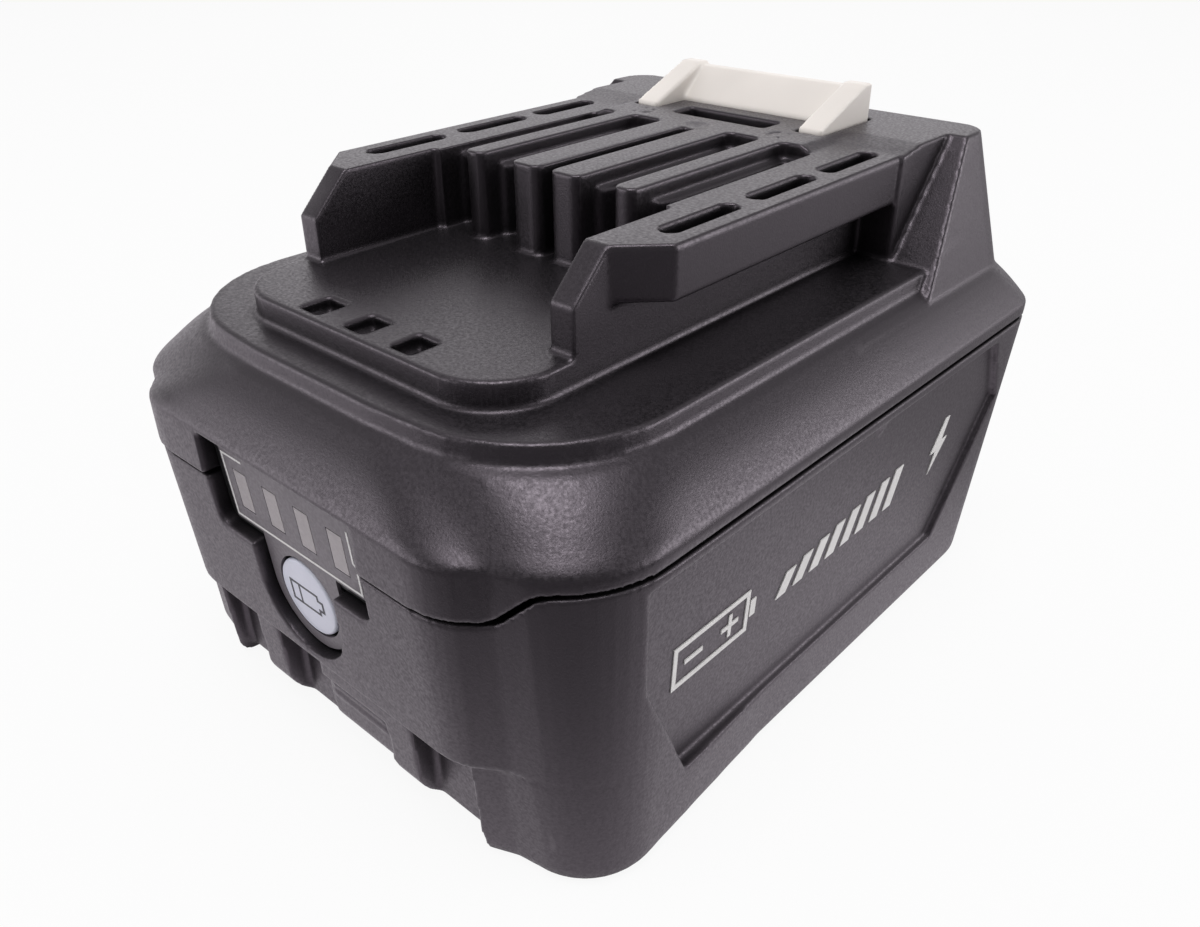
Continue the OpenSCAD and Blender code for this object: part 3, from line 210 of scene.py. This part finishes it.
# Materials
CLOUD_SCALE = 90.0
CLOUD_DARK = 0.96
CLOUD_LIGHT = 1.04
GLOSS_SCALE = 0.7
GLOSS_SPREAD = 0.10
GRAIN_DETAIL = 2.0
GRAIN_ROUGH = 0.6
CASE_SHEEN = (1.0, 0.88, 1.0, 1.0)
LINE_SCALE = 900.0
LINE_DETAIL = 3.0
LINE_DARK = 0.85
LINE_LIGHT = 1.1
LINE_SPREAD = 0.08
LINE_DEPTH = 0.02 * MM
LINE_STRENGTH = 0.3


def moulded(name, colour, rough, grain_size, grain_depth, grain_strength, specular, edge=None):
    """Moulded plastic with a spark-eroded grain, cloudy colour and uneven gloss; with an edge colour, also
    rubbed edges and painted shade on its reflections in crevices.
    """
    material, tree, shader = new_material(name)
    cloud = noise(tree, CLOUD_SCALE, GRAIN_DETAIL)
    tint = ramp(tree, cloud, NOISE_LOW, NOISE_HIGH, shade(colour, CLOUD_DARK), shade(colour, CLOUD_LIGHT))
    if edge:
        tint = worn_edges(tree, tint, edge)
    tree.links.new(tint, shader.inputs["Base Color"])
    gloss = noise(tree, GLOSS_SCALE / grain_size, GRAIN_DETAIL)
    uneven = spread(tree, gloss, rough - GLOSS_SPREAD, rough + GLOSS_SPREAD)
    tree.links.new(uneven, shader.inputs["Roughness"])
    grain = noise(tree, 1.0 / grain_size, GRAIN_DETAIL, rough=GRAIN_ROUGH)
    bump(tree, shader, grain, grain_depth, grain_strength)
    shader.inputs["Specular IOR Level"].default_value = specular
    # Painted shade: with an edge colour, the specular level is dimmed by an occlusion mask in seams, grooves
    # and inner corners
    if edge:
        tree.links.new(product(tree, painted_crevice_shade(tree), specular), shader.inputs["Specular IOR Level"])
        shader.inputs["Specular Tint"].default_value = CASE_SHEEN
    return material


def metal(name, colour, rough, stretch):
    """Drawn or rolled metal with fine lines along one direction."""
    material, tree, shader = new_material(name)
    lines = noise(tree, LINE_SCALE, LINE_DETAIL, stretch=stretch)
    tint = ramp(tree, lines, NOISE_LOW, NOISE_HIGH, shade(colour, LINE_DARK), shade(colour, LINE_LIGHT))
    tree.links.new(tint, shader.inputs["Base Color"])
    tree.links.new(spread(tree, lines, rough - LINE_SPREAD, rough + LINE_SPREAD), shader.inputs["Roughness"])
    bump(tree, shader, lines, LINE_DEPTH, LINE_STRENGTH)
    shader.inputs["Metallic"].default_value = 1.0
    return material


CHARCOAL = (0.0085, 0.0077, 0.0087)
CHARCOAL_EDGE = (0.030, 0.028, 0.030)
COVER = (0.0072, 0.0066, 0.0074)

materials = {
    "case_lower": moulded(
        "charcoal_tub", CHARCOAL, rough=0.44, grain_size=0.22 * MM, grain_depth=0.04 * MM,
        grain_strength=0.5, specular=0.9, edge=CHARCOAL_EDGE),
    "case_upper": moulded(
        "charcoal_cover", COVER, rough=0.40, grain_size=0.22 * MM, grain_depth=0.04 * MM,
        grain_strength=0.45, specular=0.9, edge=CHARCOAL_EDGE),
    "latch_white": moulded(
        "off_white_moulding", (0.87, 0.82, 0.77), rough=0.42, grain_size=0.5 * MM, grain_depth=0.02 * MM,
        grain_strength=0.25, specular=0.5),
    "gauge_black": moulded(
        "black_moulding", (0.012, 0.012, 0.013), rough=0.5, grain_size=0.3 * MM, grain_depth=0.03 * MM,
        grain_strength=0.3, specular=0.35),
    "gauge_overlay": moulded(
        "smoked_film", (0.135, 0.12, 0.135), rough=0.45, grain_size=0.25 * MM, grain_depth=0.02 * MM,
        grain_strength=0.35, specular=0.45),
    "button_pale": moulded(
        "pale_cap", (0.64, 0.65, 0.75), rough=0.38, grain_size=0.4 * MM, grain_depth=0.015 * MM,
        grain_strength=0.2, specular=0.5),
    "light_pipe": moulded(
        "frosted_pipe", (0.34, 0.31, 0.32), rough=0.42, grain_size=0.3 * MM, grain_depth=0.03 * MM,
        grain_strength=0.4, specular=0.5),
    "circuit_board": moulded(
        "solder_resist", (0.015, 0.11, 0.05), rough=0.3, grain_size=1.2 * MM, grain_depth=0.02 * MM,
        grain_strength=0.3, specular=0.5),
    "led_body": moulded(
        "chip_body", (0.75, 0.72, 0.6), rough=0.4, grain_size=0.4 * MM, grain_depth=0.01 * MM,
        grain_strength=0.2, specular=0.5),
    "flat_lead": moulded(
        "amber_film", (0.48, 0.29, 0.07), rough=0.3, grain_size=0.6 * MM, grain_depth=0.01 * MM,
        grain_strength=0.2, specular=0.5),
    "cell_wrap": moulded(
        "shrink_wrap", (0.06, 0.22, 0.4), rough=0.28, grain_size=2.0 * MM, grain_depth=0.05 * MM,
        grain_strength=0.3, specular=0.5),
    "holder": moulded(
        "natural_moulding", (0.66, 0.61, 0.52), rough=0.5, grain_size=0.5 * MM, grain_depth=0.03 * MM,
        grain_strength=0.3, specular=0.4),
    "fibre_sheet": moulded(
        "pressed_fibre", (0.5, 0.4, 0.26), rough=0.8, grain_size=0.4 * MM, grain_depth=0.08 * MM,
        grain_strength=0.6, specular=0.2),
    "foam": moulded(
        "closed_cell_foam", (0.07, 0.07, 0.075), rough=0.9, grain_size=0.5 * MM, grain_depth=0.15 * MM,
        grain_strength=0.8, specular=0.2),
    "steel": metal("drawn_steel", (0.5, 0.5, 0.52), rough=0.35, stretch=(1.0, 1.0, 4.0)),
    "nickel_strip": metal("nickel_strip", (0.55, 0.54, 0.5), rough=0.35, stretch=(1.0, 1.0, 6.0)),
    "contact_brass": metal("plated_brass", (0.62, 0.42, 0.18), rough=0.3, stretch=(1.0, 6.0, 1.0)),
}
print_white = moulded(
    "print_white", (0.72, 0.71, 0.70), rough=0.5, grain_size=0.2 * MM, grain_depth=0.01 * MM,
    grain_strength=0.3, specular=0.4)
print_dark = moulded(
    "print_dark", (0.06, 0.06, 0.075), rough=0.5, grain_size=0.2 * MM, grain_depth=0.01 * MM,
    grain_strength=0.3, specular=0.4)

for entry in frame["record"]["subparts"]:
    cad = nodes[entry["node"]]
    cad.data.materials.clear()
    cad.data.materials.append(materials[entry["material_slot"]])


# Mesh helpers
def add_piece(name, mesh, material, body):
    piece = bpy.data.objects.new(name, mesh)
    bpy.context.scene.collection.objects.link(piece)
    piece.data.materials.clear()
    piece.data.materials.append(material)
    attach(piece, body)
    return piece


def shaded(mesh, smooth):
    for polygon in mesh.polygons:
        polygon.use_smooth = smooth
    return mesh


def as_mesh(work, name, matrix=None, smooth=True):
    mesh = bpy.data.meshes.new(name)
    if matrix is not None:
        bmesh.ops.transform(work, matrix=matrix, verts=work.verts)
    work.to_mesh(mesh)
    work.free()
    return shaded(mesh, smooth)


def evaluated(source, name):
    """The mesh of an object with its modifiers applied."""
    graph = bpy.context.evaluated_depsgraph_get()
    mesh = bpy.data.meshes.new_from_object(source.evaluated_get(graph))
    mesh.name = name
    return mesh


def lathe(profile, segments):
    """Closed turned form about the Z axis from (radius, height) points that start and end on the axis."""
    work = bmesh.new()
    rings = []
    for radius, height in profile:
        if radius == 0.0:
            rings.append([work.verts.new((0.0, 0.0, height))])
            continue
        ring = []
        for i in range(segments):
            angle = 2.0 * math.pi * i / segments
            ring.append(work.verts.new((radius * math.cos(angle), radius * math.sin(angle), height)))
        rings.append(ring)
    for lower, upper in zip(rings, rings[1:]):
        for i in range(segments):
            j = (i + 1) % segments
            low_pair = [lower[i % len(lower)], lower[j % len(lower)]]
            high_pair = [upper[j % len(upper)], upper[i % len(upper)]]
            unique = list(dict.fromkeys(low_pair + high_pair))
            work.faces.new(unique)
    bmesh.ops.recalc_face_normals(work, faces=work.faces)
    return work


# A printed line's sharpest corner reaches no further than half its width over this
LEAST_MITRE = 0.4


def printed_line(work, points, width, depth, closed=False):
    """Flat printed line in the XZ plane along points, raised from Y = 0 towards -Y."""
    count = len(points)
    left = []
    right = []
    for i, point in enumerate(points):
        here = Vector(point)
        before = Vector(points[i - 1]) if closed or i > 0 else None
        after = Vector(points[(i + 1) % count]) if closed or i < count - 1 else None
        ahead = (after - here).normalized() if after is not None else (here - before).normalized()
        behind = (here - before).normalized() if before is not None else ahead
        across = (Vector((-ahead.y, ahead.x)) + Vector((-behind.y, behind.x))).normalized()
        reach = width / 2.0 / max(LEAST_MITRE, across.dot(Vector((-ahead.y, ahead.x))))
        left.append(here + across * reach)
        right.append(here - across * reach)
    tops = [[work.verts.new((p.x, -depth, p.y)) for p in side] for side in (left, right)]
    feet = [[work.verts.new((p.x, 0.0, p.y)) for p in side] for side in (left, right)]
    last = count if closed else count - 1
    for i in range(last):
        j = (i + 1) % count
        work.faces.new((tops[0][i], tops[0][j], tops[1][j], tops[1][i]))
        work.faces.new((feet[0][i], feet[1][i], feet[1][j], feet[0][j]))
        work.faces.new((tops[0][i], feet[0][i], feet[0][j], tops[0][j]))
        work.faces.new((tops[1][i], tops[1][j], feet[1][j], feet[1][i]))
    if not closed:
        for i in (0, count - 1):
            work.faces.new((tops[0][i], tops[1][i], feet[1][i], feet[0][i]))
    bmesh.ops.recalc_face_normals(work, faces=work.faces)


def printed_area(work, points, depth):
    """Flat printed patch in the XZ plane inside points, raised from Y = 0 towards -Y."""
    top = [work.verts.new((x, -depth, z)) for x, z in points]
    foot = [work.verts.new((x, 0.0, z)) for x, z in points]
    work.faces.new(top)
    work.faces.new(list(reversed(foot)))
    for i in range(len(points)):
        j = (i + 1) % len(points)
        work.faces.new((top[i], foot[i], foot[j], top[j]))


def rectangle(low_x, high_x, low_z, high_z):
    return [(low_x, low_z), (high_x, low_z), (high_x, high_z), (low_x, high_z)]


# Case halves and latch, with the soft edges of a moulding
SHELL_VOXEL = 0.27 * MM
SHELL_ROUNDS = 2
LATCH_VOXEL = 0.22 * MM
LATCH_ROUNDS = 4
WELD = 0.001 * MM
SMOOTH_FACTOR = 0.5

# The shoulder's facets are smoothed in steps, each a little further in from the rim
FAIR_ROUNDS = (2, 3, 5, 8, 14, 90)
FAIR_STEP = 0.3 * MM
SHOULDER_LOW = 34.8 * MM
SHOULDER_TOP = 40.2 * MM
SHOULDER_REAR = 6.0 * MM
SHOULDER_IN = 5.2 * MM
SKIN = 1.6 * MM
CORNER_R = 12.0 * MM
CORNER_SET = 2.5 * MM


def outside_corner(place, inset):
    """Beyond the round of a front corner, drawn in by an inset."""
    sideways = abs(place.x) - (HALF_W - CORNER_R)
    forwards = Y_FRONT + CORNER_SET + CORNER_R - place.y
    return sideways > 0.0 and forwards > 0.0 and math.hypot(sideways, forwards) > CORNER_R - inset


def on_shoulder(place, margin):
    """The outer side of the cover's shoulder in front of the tower, a margin in from its low and rear rim."""
    if not SHOULDER_LOW + margin < place.z < SHOULDER_TOP or place.y > SHOULDER_REAR - margin:
        return False
    share = (place.z - SHOULDER_LOW) / (SHOULDER_TOP - SHOULDER_LOW)
    inset = SHOULDER_IN * share + SKIN
    return abs(place.x) > HALF_W - inset or place.y < Y_FRONT + inset or outside_corner(place, inset)


def faired(mesh, zone):
    """Smooths the vertices inside a zone until the facets there flow into each other, less near its rim."""
    work = bmesh.new()
    work.from_mesh(mesh)
    for step, rounds in enumerate(FAIR_ROUNDS):
        inside = [vertex for vertex in work.verts if zone(vertex.co, step * FAIR_STEP)]
        for _ in range(rounds):
            bmesh.ops.smooth_vert(
                work, verts=inside, factor=SMOOTH_FACTOR, use_axis_x=True, use_axis_y=True, use_axis_z=True)
    work.to_mesh(mesh)
    work.free()


def softened(node, name, slot, body, voxel, rounds, ratio, zone=None):
    """A copy of a CAD solid with its edges rounded: voxel remesh, smoothing, then fewer faces."""
    mesh = bpy.data.meshes.new(name + "_source")
    work = bmesh.new()
    work.from_mesh(nodes[node].data)
    bmesh.ops.remove_doubles(work, verts=work.verts, dist=WELD)
    work.to_mesh(mesh)
    work.free()
    source = bpy.data.objects.new(name + "_source", mesh)
    bpy.context.scene.collection.objects.link(source)
    remesh = source.modifiers.new("voxels", "REMESH")
    remesh.mode = "VOXEL"
    remesh.voxel_size = voxel
    remesh.adaptivity = 0.0
    smooth = source.modifiers.new("smooth", "SMOOTH")
    smooth.factor = SMOOTH_FACTOR
    smooth.iterations = rounds
    bpy.context.view_layer.update()
    dense = evaluated(source, name + "_dense")
    if zone:
        faired(dense, zone)
    source.modifiers.clear()
    source.data = dense
    thin = source.modifiers.new("thin", "DECIMATE")
    thin.ratio = ratio
    bpy.context.view_layer.update()
    result = shaded(evaluated(source, name), True)
    bpy.data.objects.remove(source)
    piece = add_piece(name, result, materials[slot], body)
    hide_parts(node)


softened(
    "lower_case", "lower_case_shell", "case_lower", "case",
    voxel=SHELL_VOXEL, rounds=SHELL_ROUNDS, ratio=0.09)
softened(
    "upper_case", "upper_case_shell", "case_upper", "case",
    voxel=SHELL_VOXEL, rounds=SHELL_ROUNDS, ratio=0.10, zone=on_shoulder)
softened(
    "latch", "latch_moulding", "latch_white", "latch",
    voxel=LATCH_VOXEL, rounds=LATCH_ROUNDS, ratio=0.25)

# Latch springs: the wound wire, copied from the CAD springs onto the case
for spring_side in ("left", "right"):
    spring_node = "latch_spring_" + spring_side
    coil_mesh = shaded(nodes[spring_node].data.copy(), True)
    coil = add_piece("latch_coil_" + spring_side, coil_mesh, materials["steel"], "case")
    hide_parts(spring_node)
    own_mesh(coil)

# Gauge button: a low crown with a rounded rim, on its stem
BUTTON_R = BUTTON_D / 2.0
STEM_R = STEM_D / 2.0
CROWN = 0.06 * MM
CROWN_MID = 0.6
RIM = 0.3 * MM
RIM_STEPS = 4
BUTTON_SEGMENTS = 64
INWARDS = Matrix.Rotation(-math.pi / 2.0, 4, "X")


def button_profile():
    """Radii and depths of the button, from the middle of its crown round to the end of its stem."""
    flat_r = BUTTON_R - RIM
    points = [
        (0.0, BUTTON_FACE - CROWN),
        (BUTTON_R * CROWN_MID, BUTTON_FACE - CROWN / 2.0),
        (flat_r, BUTTON_FACE)]
    for step in range(1, RIM_STEPS + 1):
        bend = math.pi / 2.0 * step / RIM_STEPS
        points.append((flat_r + RIM * math.sin(bend), BUTTON_FACE + RIM * (1.0 - math.cos(bend))))
    return points + [(BUTTON_R, BUTTON_SKIRT), (STEM_R, BUTTON_SKIRT), (STEM_R, STEM_END), (0.0, STEM_END)]


button_mesh = as_mesh(lathe(button_profile(), BUTTON_SEGMENTS), "gauge_button_cap", GAUGE @ INWARDS)
button_cap = add_piece(
    "gauge_button_cap", button_mesh, materials["button_pale"], "gauge_button")
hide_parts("gauge_button")

# Printed battery sign on the button: an outline with its end cap and an upright charge line
INK = 0.02 * MM
SIGN_LIFT = 0.04 * MM
SIGN_LINE = 0.27 * MM
SIGN_W = 2.5 * MM
SIGN_H = 1.15 * MM
SIGN_BODY = SIGN_W * 0.72
SIGN_CAP_H = SIGN_H * 0.5
SIGN_CHARGE = -SIGN_W * 0.45


def button_sign():
    work = bmesh.new()
    outline = [
        (-SIGN_W, -SIGN_H), (SIGN_BODY, -SIGN_H), (SIGN_BODY, -SIGN_CAP_H), (SIGN_W, -SIGN_CAP_H),
        (SIGN_W, SIGN_CAP_H), (SIGN_BODY, SIGN_CAP_H), (SIGN_BODY, SIGN_H), (-SIGN_W, SIGN_H)]
    printed_line(work, outline, SIGN_LINE, INK, closed=True)
    printed_line(work, [(SIGN_CHARGE, -SIGN_H), (SIGN_CHARGE, SIGN_H)], SIGN_LINE, INK)
    return work


sign_place = GAUGE @ Matrix.Translation((0.0, BUTTON_FACE - SIGN_LIFT, 0.0))
sign_mesh = as_mesh(button_sign(), "button_sign", sign_place, smooth=False)
add_piece("button_sign", sign_mesh, print_dark, "gauge_button")

# White printed frame round the charge bars, open at its top
FRAME_LINE = 0.26 * MM
FRAME_X = 9.9 * MM
FRAME_LOW = 5.5 * MM
FRAME_TOP = 12.65 * MM
FRAME_JOG_Z = 8.6 * MM
FRAME_JOG = 0.35 * MM
FRAME_TOP_RUN = 3.4 * MM


def gauge_frame():
    work = bmesh.new()
    jog_x = FRAME_X - FRAME_JOG
    points = [
        (-FRAME_X + FRAME_TOP_RUN, FRAME_TOP), (-FRAME_X, FRAME_TOP), (-FRAME_X, FRAME_LOW),
        (FRAME_X, FRAME_LOW), (FRAME_X, FRAME_JOG_Z), (jog_x, FRAME_JOG_Z + FRAME_JOG),
        (jog_x, FRAME_TOP - FRAME_JOG)]
    printed_line(work, points, FRAME_LINE, INK)
    return work


frame_place = GAUGE @ Matrix.Translation((0.0, OVERLAY_FACE, 0.0))
frame_mesh = as_mesh(gauge_frame(), "gauge_frame_print", frame_place, smooth=False)
add_piece("gauge_frame_print", frame_mesh, print_white, "case")

# Plain signs printed in the side fields: a cell, slanting charge bars and a bolt
PRINT_SINK = 0.05 * MM
PRINT_RISE = 0.10 * MM
LEFT_SHIFT = 4.0 * MM
SIDE_TILT = math.atan(SIDE_DRAFT / SEAM_Z)
FIELD_X = HALF_W - SIDE_DRAFT * (SEAM_Z - FIELD_LOW) / SEAM_Z
RIGHT_FIELD = (
    Matrix.Translation((FIELD_X, 0.0, FIELD_LOW))
    @ Matrix.Rotation(SIDE_TILT, 4, "Y")
    @ Matrix.Translation((PRINT_SINK - FIELD_D - PRINT_RISE / 2.0, 0.0, 0.0))
    @ Matrix.Rotation(math.pi / 2.0, 4, "Z"))
LEFT_FIELD = Matrix.Translation((0.0, LEFT_SHIFT, 0.0)) @ Matrix.Rotation(math.pi, 4, "Z") @ RIGHT_FIELD

CELL_Y = -21.0 * MM
CELL_Z = 12.6 * MM
CELL_HALF_L = 5.4 * MM
CELL_HALF_H = 2.2 * MM
CELL_LINE = 0.55 * MM
NUB_GAP = 0.5 * MM
NUB_L = 0.9 * MM
NUB_HALF_H = 1.0 * MM
MARK_HALF = 1.3 * MM
MARK_LINE = 0.5 * MM

BAR_COUNT = 8
BAR_START = -10.5 * MM
BAR_PITCH = 3.0 * MM
BAR_W = 1.7 * MM
BAR_LEAN = 1.5 * MM
BAR_Z = 10.9 * MM
BAR_H = 2.6 * MM
BAR_GROWTH = 0.3 * MM

BOLT_Y = 22.5 * MM
BOLT_Z = 14.2 * MM
BOLT_SIZE = 1.15 * MM
BOLT_UPPER = [(0.4, 3.0), (-1.6, -0.5), (0.2, -0.5), (1.3, 3.0)]
BOLT_LOWER = [(-0.2, 0.5), (-1.2, -3.0), (1.7, 0.5)]
# The bolt's lower half lies a little under its upper half where they cross
BOLT_UNDER = 0.98


def cell_sign(work):
    """A cell's outline with its nub, a minus and a plus."""
    far = CELL_Y + CELL_HALF_L
    body = rectangle(CELL_Y - CELL_HALF_L, far, CELL_Z - CELL_HALF_H, CELL_Z + CELL_HALF_H)
    printed_line(work, body, CELL_LINE, PRINT_RISE, closed=True)
    nub = far + NUB_GAP
    printed_area(work, rectangle(nub, nub + NUB_L, CELL_Z - NUB_HALF_H, CELL_Z + NUB_HALF_H), PRINT_RISE)
    minus = CELL_Y - CELL_HALF_L / 2.0
    plus = CELL_Y + CELL_HALF_L / 2.0
    for mark in (minus, plus):
        printed_line(work, [(mark - MARK_HALF, CELL_Z), (mark + MARK_HALF, CELL_Z)], MARK_LINE, PRINT_RISE)
    for end in (-1.0, 1.0):
        arm = [(plus, CELL_Z + end * MARK_LINE / 2.0), (plus, CELL_Z + end * MARK_HALF)]
        printed_line(work, arm, MARK_LINE, PRINT_RISE)


def bar_signs(work):
    """A row of slanting bars, each taller than the one before."""
    for i in range(BAR_COUNT):
        near = BAR_START + i * BAR_PITCH
        far = near + BAR_W
        top_z = BAR_Z + BAR_H + i * BAR_GROWTH
        corners = [(near, BAR_Z), (far, BAR_Z), (far + BAR_LEAN, top_z), (near + BAR_LEAN, top_z)]
        printed_area(work, corners, PRINT_RISE)


def bolt_sign(work):
    for shape, depth in ((BOLT_UPPER, PRINT_RISE), (BOLT_LOWER, PRINT_RISE * BOLT_UNDER)):
        corners = [(BOLT_Y + x * BOLT_SIZE, BOLT_Z + z * BOLT_SIZE) for x, z in shape]
        printed_area(work, corners, depth)


def side_signs():
    work = bmesh.new()
    cell_sign(work)
    bar_signs(work)
    bolt_sign(work)
    bmesh.ops.recalc_face_normals(work, faces=work.faces)
    return work


for side_name, side_place in (("right_side_print", RIGHT_FIELD), ("left_side_print", LEFT_FIELD)):
    side_mesh = as_mesh(side_signs(), side_name, side_place, smooth=False)
    add_piece(side_name, side_mesh, print_white, "case")

# Charge bars: rounded rims on the light pipes
pipe_bevel = nodes["light_pipes"].modifiers.new("rim", "BEVEL")
pipe_bevel.width = 0.2 * MM
pipe_bevel.segments = 3
pipe_bevel.limit_method = "ANGLE"

# Floor: white to the camera, with the object's shadow; in reflections it glows as a painted reflection,
# dimmer far out on the camera's side and to the rear right
FLOOR_SIZE = 6.0
FLOOR_DROP = 0.02 * MM
FLOOR_COLOUR = (0.82, 0.82, 0.82, 1.0)
FLOOR_GLOW = 0.92
FLOOR_REFLECTED_GLOW = 1.05
REFLECTED_GLOW_COLOUR = (1.0, 0.95, 1.0, 1.0)
OPEN_SIDE = (0.67, -0.74, 0.0)
OPEN_NEAR = 35.0 * MM
OPEN_FAR = 85.0 * MM
OPEN_SHARE = 0.22
REAR_RIGHT = (0.57, 0.82, 0.0)
REAR_NEAR = 42.0 * MM
REAR_FAR = 85.0 * MM
REAR_SHARE = 0.45


def floor_share(tree, vector, direction, near, far, last):
    """1 up to a near distance along a direction, falling to a last value at a far one."""
    fall = tree.nodes.new("ShaderNodeMapRange")
    fall.interpolation_type = "SMOOTHSTEP"
    fall.inputs["From Min"].default_value = near
    fall.inputs["From Max"].default_value = far
    fall.inputs["To Min"].default_value = 1.0
    fall.inputs["To Max"].default_value = last
    tree.links.new(along(tree, vector, direction), fall.inputs["Value"])
    return fall.outputs["Result"]


def floor_material():
    material = bpy.data.materials.new("studio_floor")
    material.use_nodes = True
    tree = material.node_tree
    tree.nodes.clear()
    output = tree.nodes.new("ShaderNodeOutputMaterial")
    diffuse = tree.nodes.new("ShaderNodeBsdfDiffuse")
    diffuse.inputs["Color"].default_value = FLOOR_COLOUR
    path = tree.nodes.new("ShaderNodeLightPath")
    white = tree.nodes.new("ShaderNodeEmission")
    seen = tree.nodes.new("ShaderNodeMath")
    seen.operation = "MAXIMUM"
    tree.links.new(path.outputs["Is Camera Ray"], seen.inputs[0])
    tree.links.new(path.outputs["Is Transmission Ray"], seen.inputs[1])
    plain = tree.nodes.new("ShaderNodeMixShader")
    tree.links.new(product(tree, seen.outputs["Value"], FLOOR_GLOW), plain.inputs["Fac"])
    tree.links.new(diffuse.outputs["BSDF"], plain.inputs[1])
    tree.links.new(white.outputs["Emission"], plain.inputs[2])
    place = tree.nodes.new("ShaderNodeTexCoord").outputs["Object"]
    dim_front = floor_share(tree, place, OPEN_SIDE, OPEN_NEAR, OPEN_FAR, OPEN_SHARE)
    dim_rear = floor_share(tree, place, REAR_RIGHT, REAR_NEAR, REAR_FAR, REAR_SHARE)
    # Painted reflection: glossy rays see the floor as a glow set by where they land on it, not by its
    # lighting
    reflected_glow = tree.nodes.new("ShaderNodeEmission")
    reflected_glow.inputs["Color"].default_value = REFLECTED_GLOW_COLOUR
    tree.links.new(product(tree, product(tree, dim_front, dim_rear), FLOOR_REFLECTED_GLOW), reflected_glow.inputs["Strength"])
    mirrored = tree.nodes.new("ShaderNodeMixShader")
    tree.links.new(path.outputs["Is Glossy Ray"], mirrored.inputs["Fac"])
    tree.links.new(plain.outputs["Shader"], mirrored.inputs[1])
    tree.links.new(reflected_glow.outputs["Emission"], mirrored.inputs[2])
    tree.links.new(mirrored.outputs["Shader"], output.inputs["Surface"])
    return material


floor_work = bmesh.new()
bmesh.ops.create_grid(floor_work, x_segments=1, y_segments=1, size=FLOOR_SIZE)
floor = bpy.data.objects.new("floor", as_mesh(floor_work, "floor"))
floor.data.materials.append(floor_material())
floor.location = (0.0, 0.0, -FLOOR_DROP)
bpy.context.scene.collection.objects.link(floor)

# World: pale near the horizon, dimmer above and on the side that the photograph was taken from
SKY_LOW = 0.12
SKY_HIGH = 0.42
SKY_PALE = (1.0, 0.97, 1.0)
SKY_DIM = (0.40, 0.39, 0.40)
SIDE_START = 0.1
SIDE_FULL = 0.8
SIDE_DIM = (0.3, 0.3, 0.3)


def studio_world():
    world = bpy.data.worlds.new("studio")
    world.use_nodes = True
    sky = world.node_tree
    sky.nodes.clear()
    output = sky.nodes.new("ShaderNodeOutputWorld")
    ambient = sky.nodes.new("ShaderNodeBackground")
    backdrop = sky.nodes.new("ShaderNodeBackground")
    backdrop.inputs["Color"].default_value = (*WHITE, 1.0)
    direction = sky.nodes.new("ShaderNodeTexCoord").outputs["Generated"]
    split = sky.nodes.new("ShaderNodeSeparateXYZ")
    sky.links.new(direction, split.inputs["Vector"])
    by_height = ramp(sky, split.outputs["Z"], SKY_LOW, SKY_HIGH, SKY_PALE, SKY_DIM)
    by_side = ramp(sky, along(sky, direction, OPEN_SIDE), SIDE_START, SIDE_FULL, WHITE, SIDE_DIM)
    light = sky.nodes.new("ShaderNodeMix")
    light.data_type = "RGBA"
    light.blend_type = "MULTIPLY"
    light.inputs["Factor"].default_value = 1.0
    sky.links.new(by_height, light.inputs["A"])
    sky.links.new(by_side, light.inputs["B"])
    sky.links.new(light.outputs["Result"], ambient.inputs["Color"])
    path = sky.nodes.new("ShaderNodeLightPath")
    mix = sky.nodes.new("ShaderNodeMixShader")
    sky.links.new(path.outputs["Is Camera Ray"], mix.inputs["Fac"])
    sky.links.new(ambient.outputs["Background"], mix.inputs[1])
    sky.links.new(backdrop.outputs["Background"], mix.inputs[2])
    sky.links.new(mix.outputs["Shader"], output.inputs["Surface"])
    return world


bpy.context.scene.world = studio_world()

# Lamps, all turned to the middle of the pack
MIDDLE = Vector((0.0, 0.0, 0.03))


def soft_box(name, place, width, height, power):
    lamp = bpy.data.lights.new(name, "AREA")
    lamp.shape = "RECTANGLE"
    lamp.size = width
    lamp.size_y = height
    lamp.energy = power
    holder = bpy.data.objects.new(name, lamp)
    holder.location = place
    holder.rotation_euler = (MIDDLE - Vector(place)).to_track_quat("-Z", "Y").to_euler()
    bpy.context.scene.collection.objects.link(holder)


soft_box("right_softbox", place=(0.50, 0.35, 0.16), width=0.4, height=0.3, power=1.2)
soft_box("front_softbox", place=(-0.35, -0.50, 0.16), width=0.4, height=0.3, power=0.75)
soft_box("top_softbox", place=(0.08, -0.12, 0.55), width=0.3, height=0.3, power=1.6)
soft_box("back_softbox", place=(-0.40, 0.44, 0.34), width=0.6, height=0.3, power=0.55)


# Camera
def photo_camera():
    """The camera at its solved place, turned by its yaw, pitch and roll."""
    ahead = Vector((
        -math.sin(CAMERA_YAW) * math.cos(CAMERA_PITCH),
        math.cos(CAMERA_YAW) * math.cos(CAMERA_PITCH),
        -math.sin(CAMERA_PITCH)))
    level = Vector((math.cos(CAMERA_YAW), math.sin(CAMERA_YAW), 0.0))
    upright = level.cross(ahead)
    right = math.cos(CAMERA_ROLL) * level + math.sin(CAMERA_ROLL) * upright
    up = -math.sin(CAMERA_ROLL) * level + math.cos(CAMERA_ROLL) * upright
    data = bpy.data.cameras.new("photo_camera")
    data.sensor_width = SENSOR
    data.lens = FOCAL_PIXELS / PICTURE_WIDTH * SENSOR
    data.clip_start = CAMERA_NEAR
    turned = Matrix((right, up, -ahead)).transposed().to_4x4()
    holder = bpy.data.objects.new("photo_camera", data)
    holder.matrix_world = Matrix.Translation(CAMERA_PLACE) @ turned
    bpy.context.scene.collection.objects.link(holder)
    return holder


camera = photo_camera()
bpy.context.scene.camera = camera

bpy.context.scene.view_settings.view_transform = "Standard"
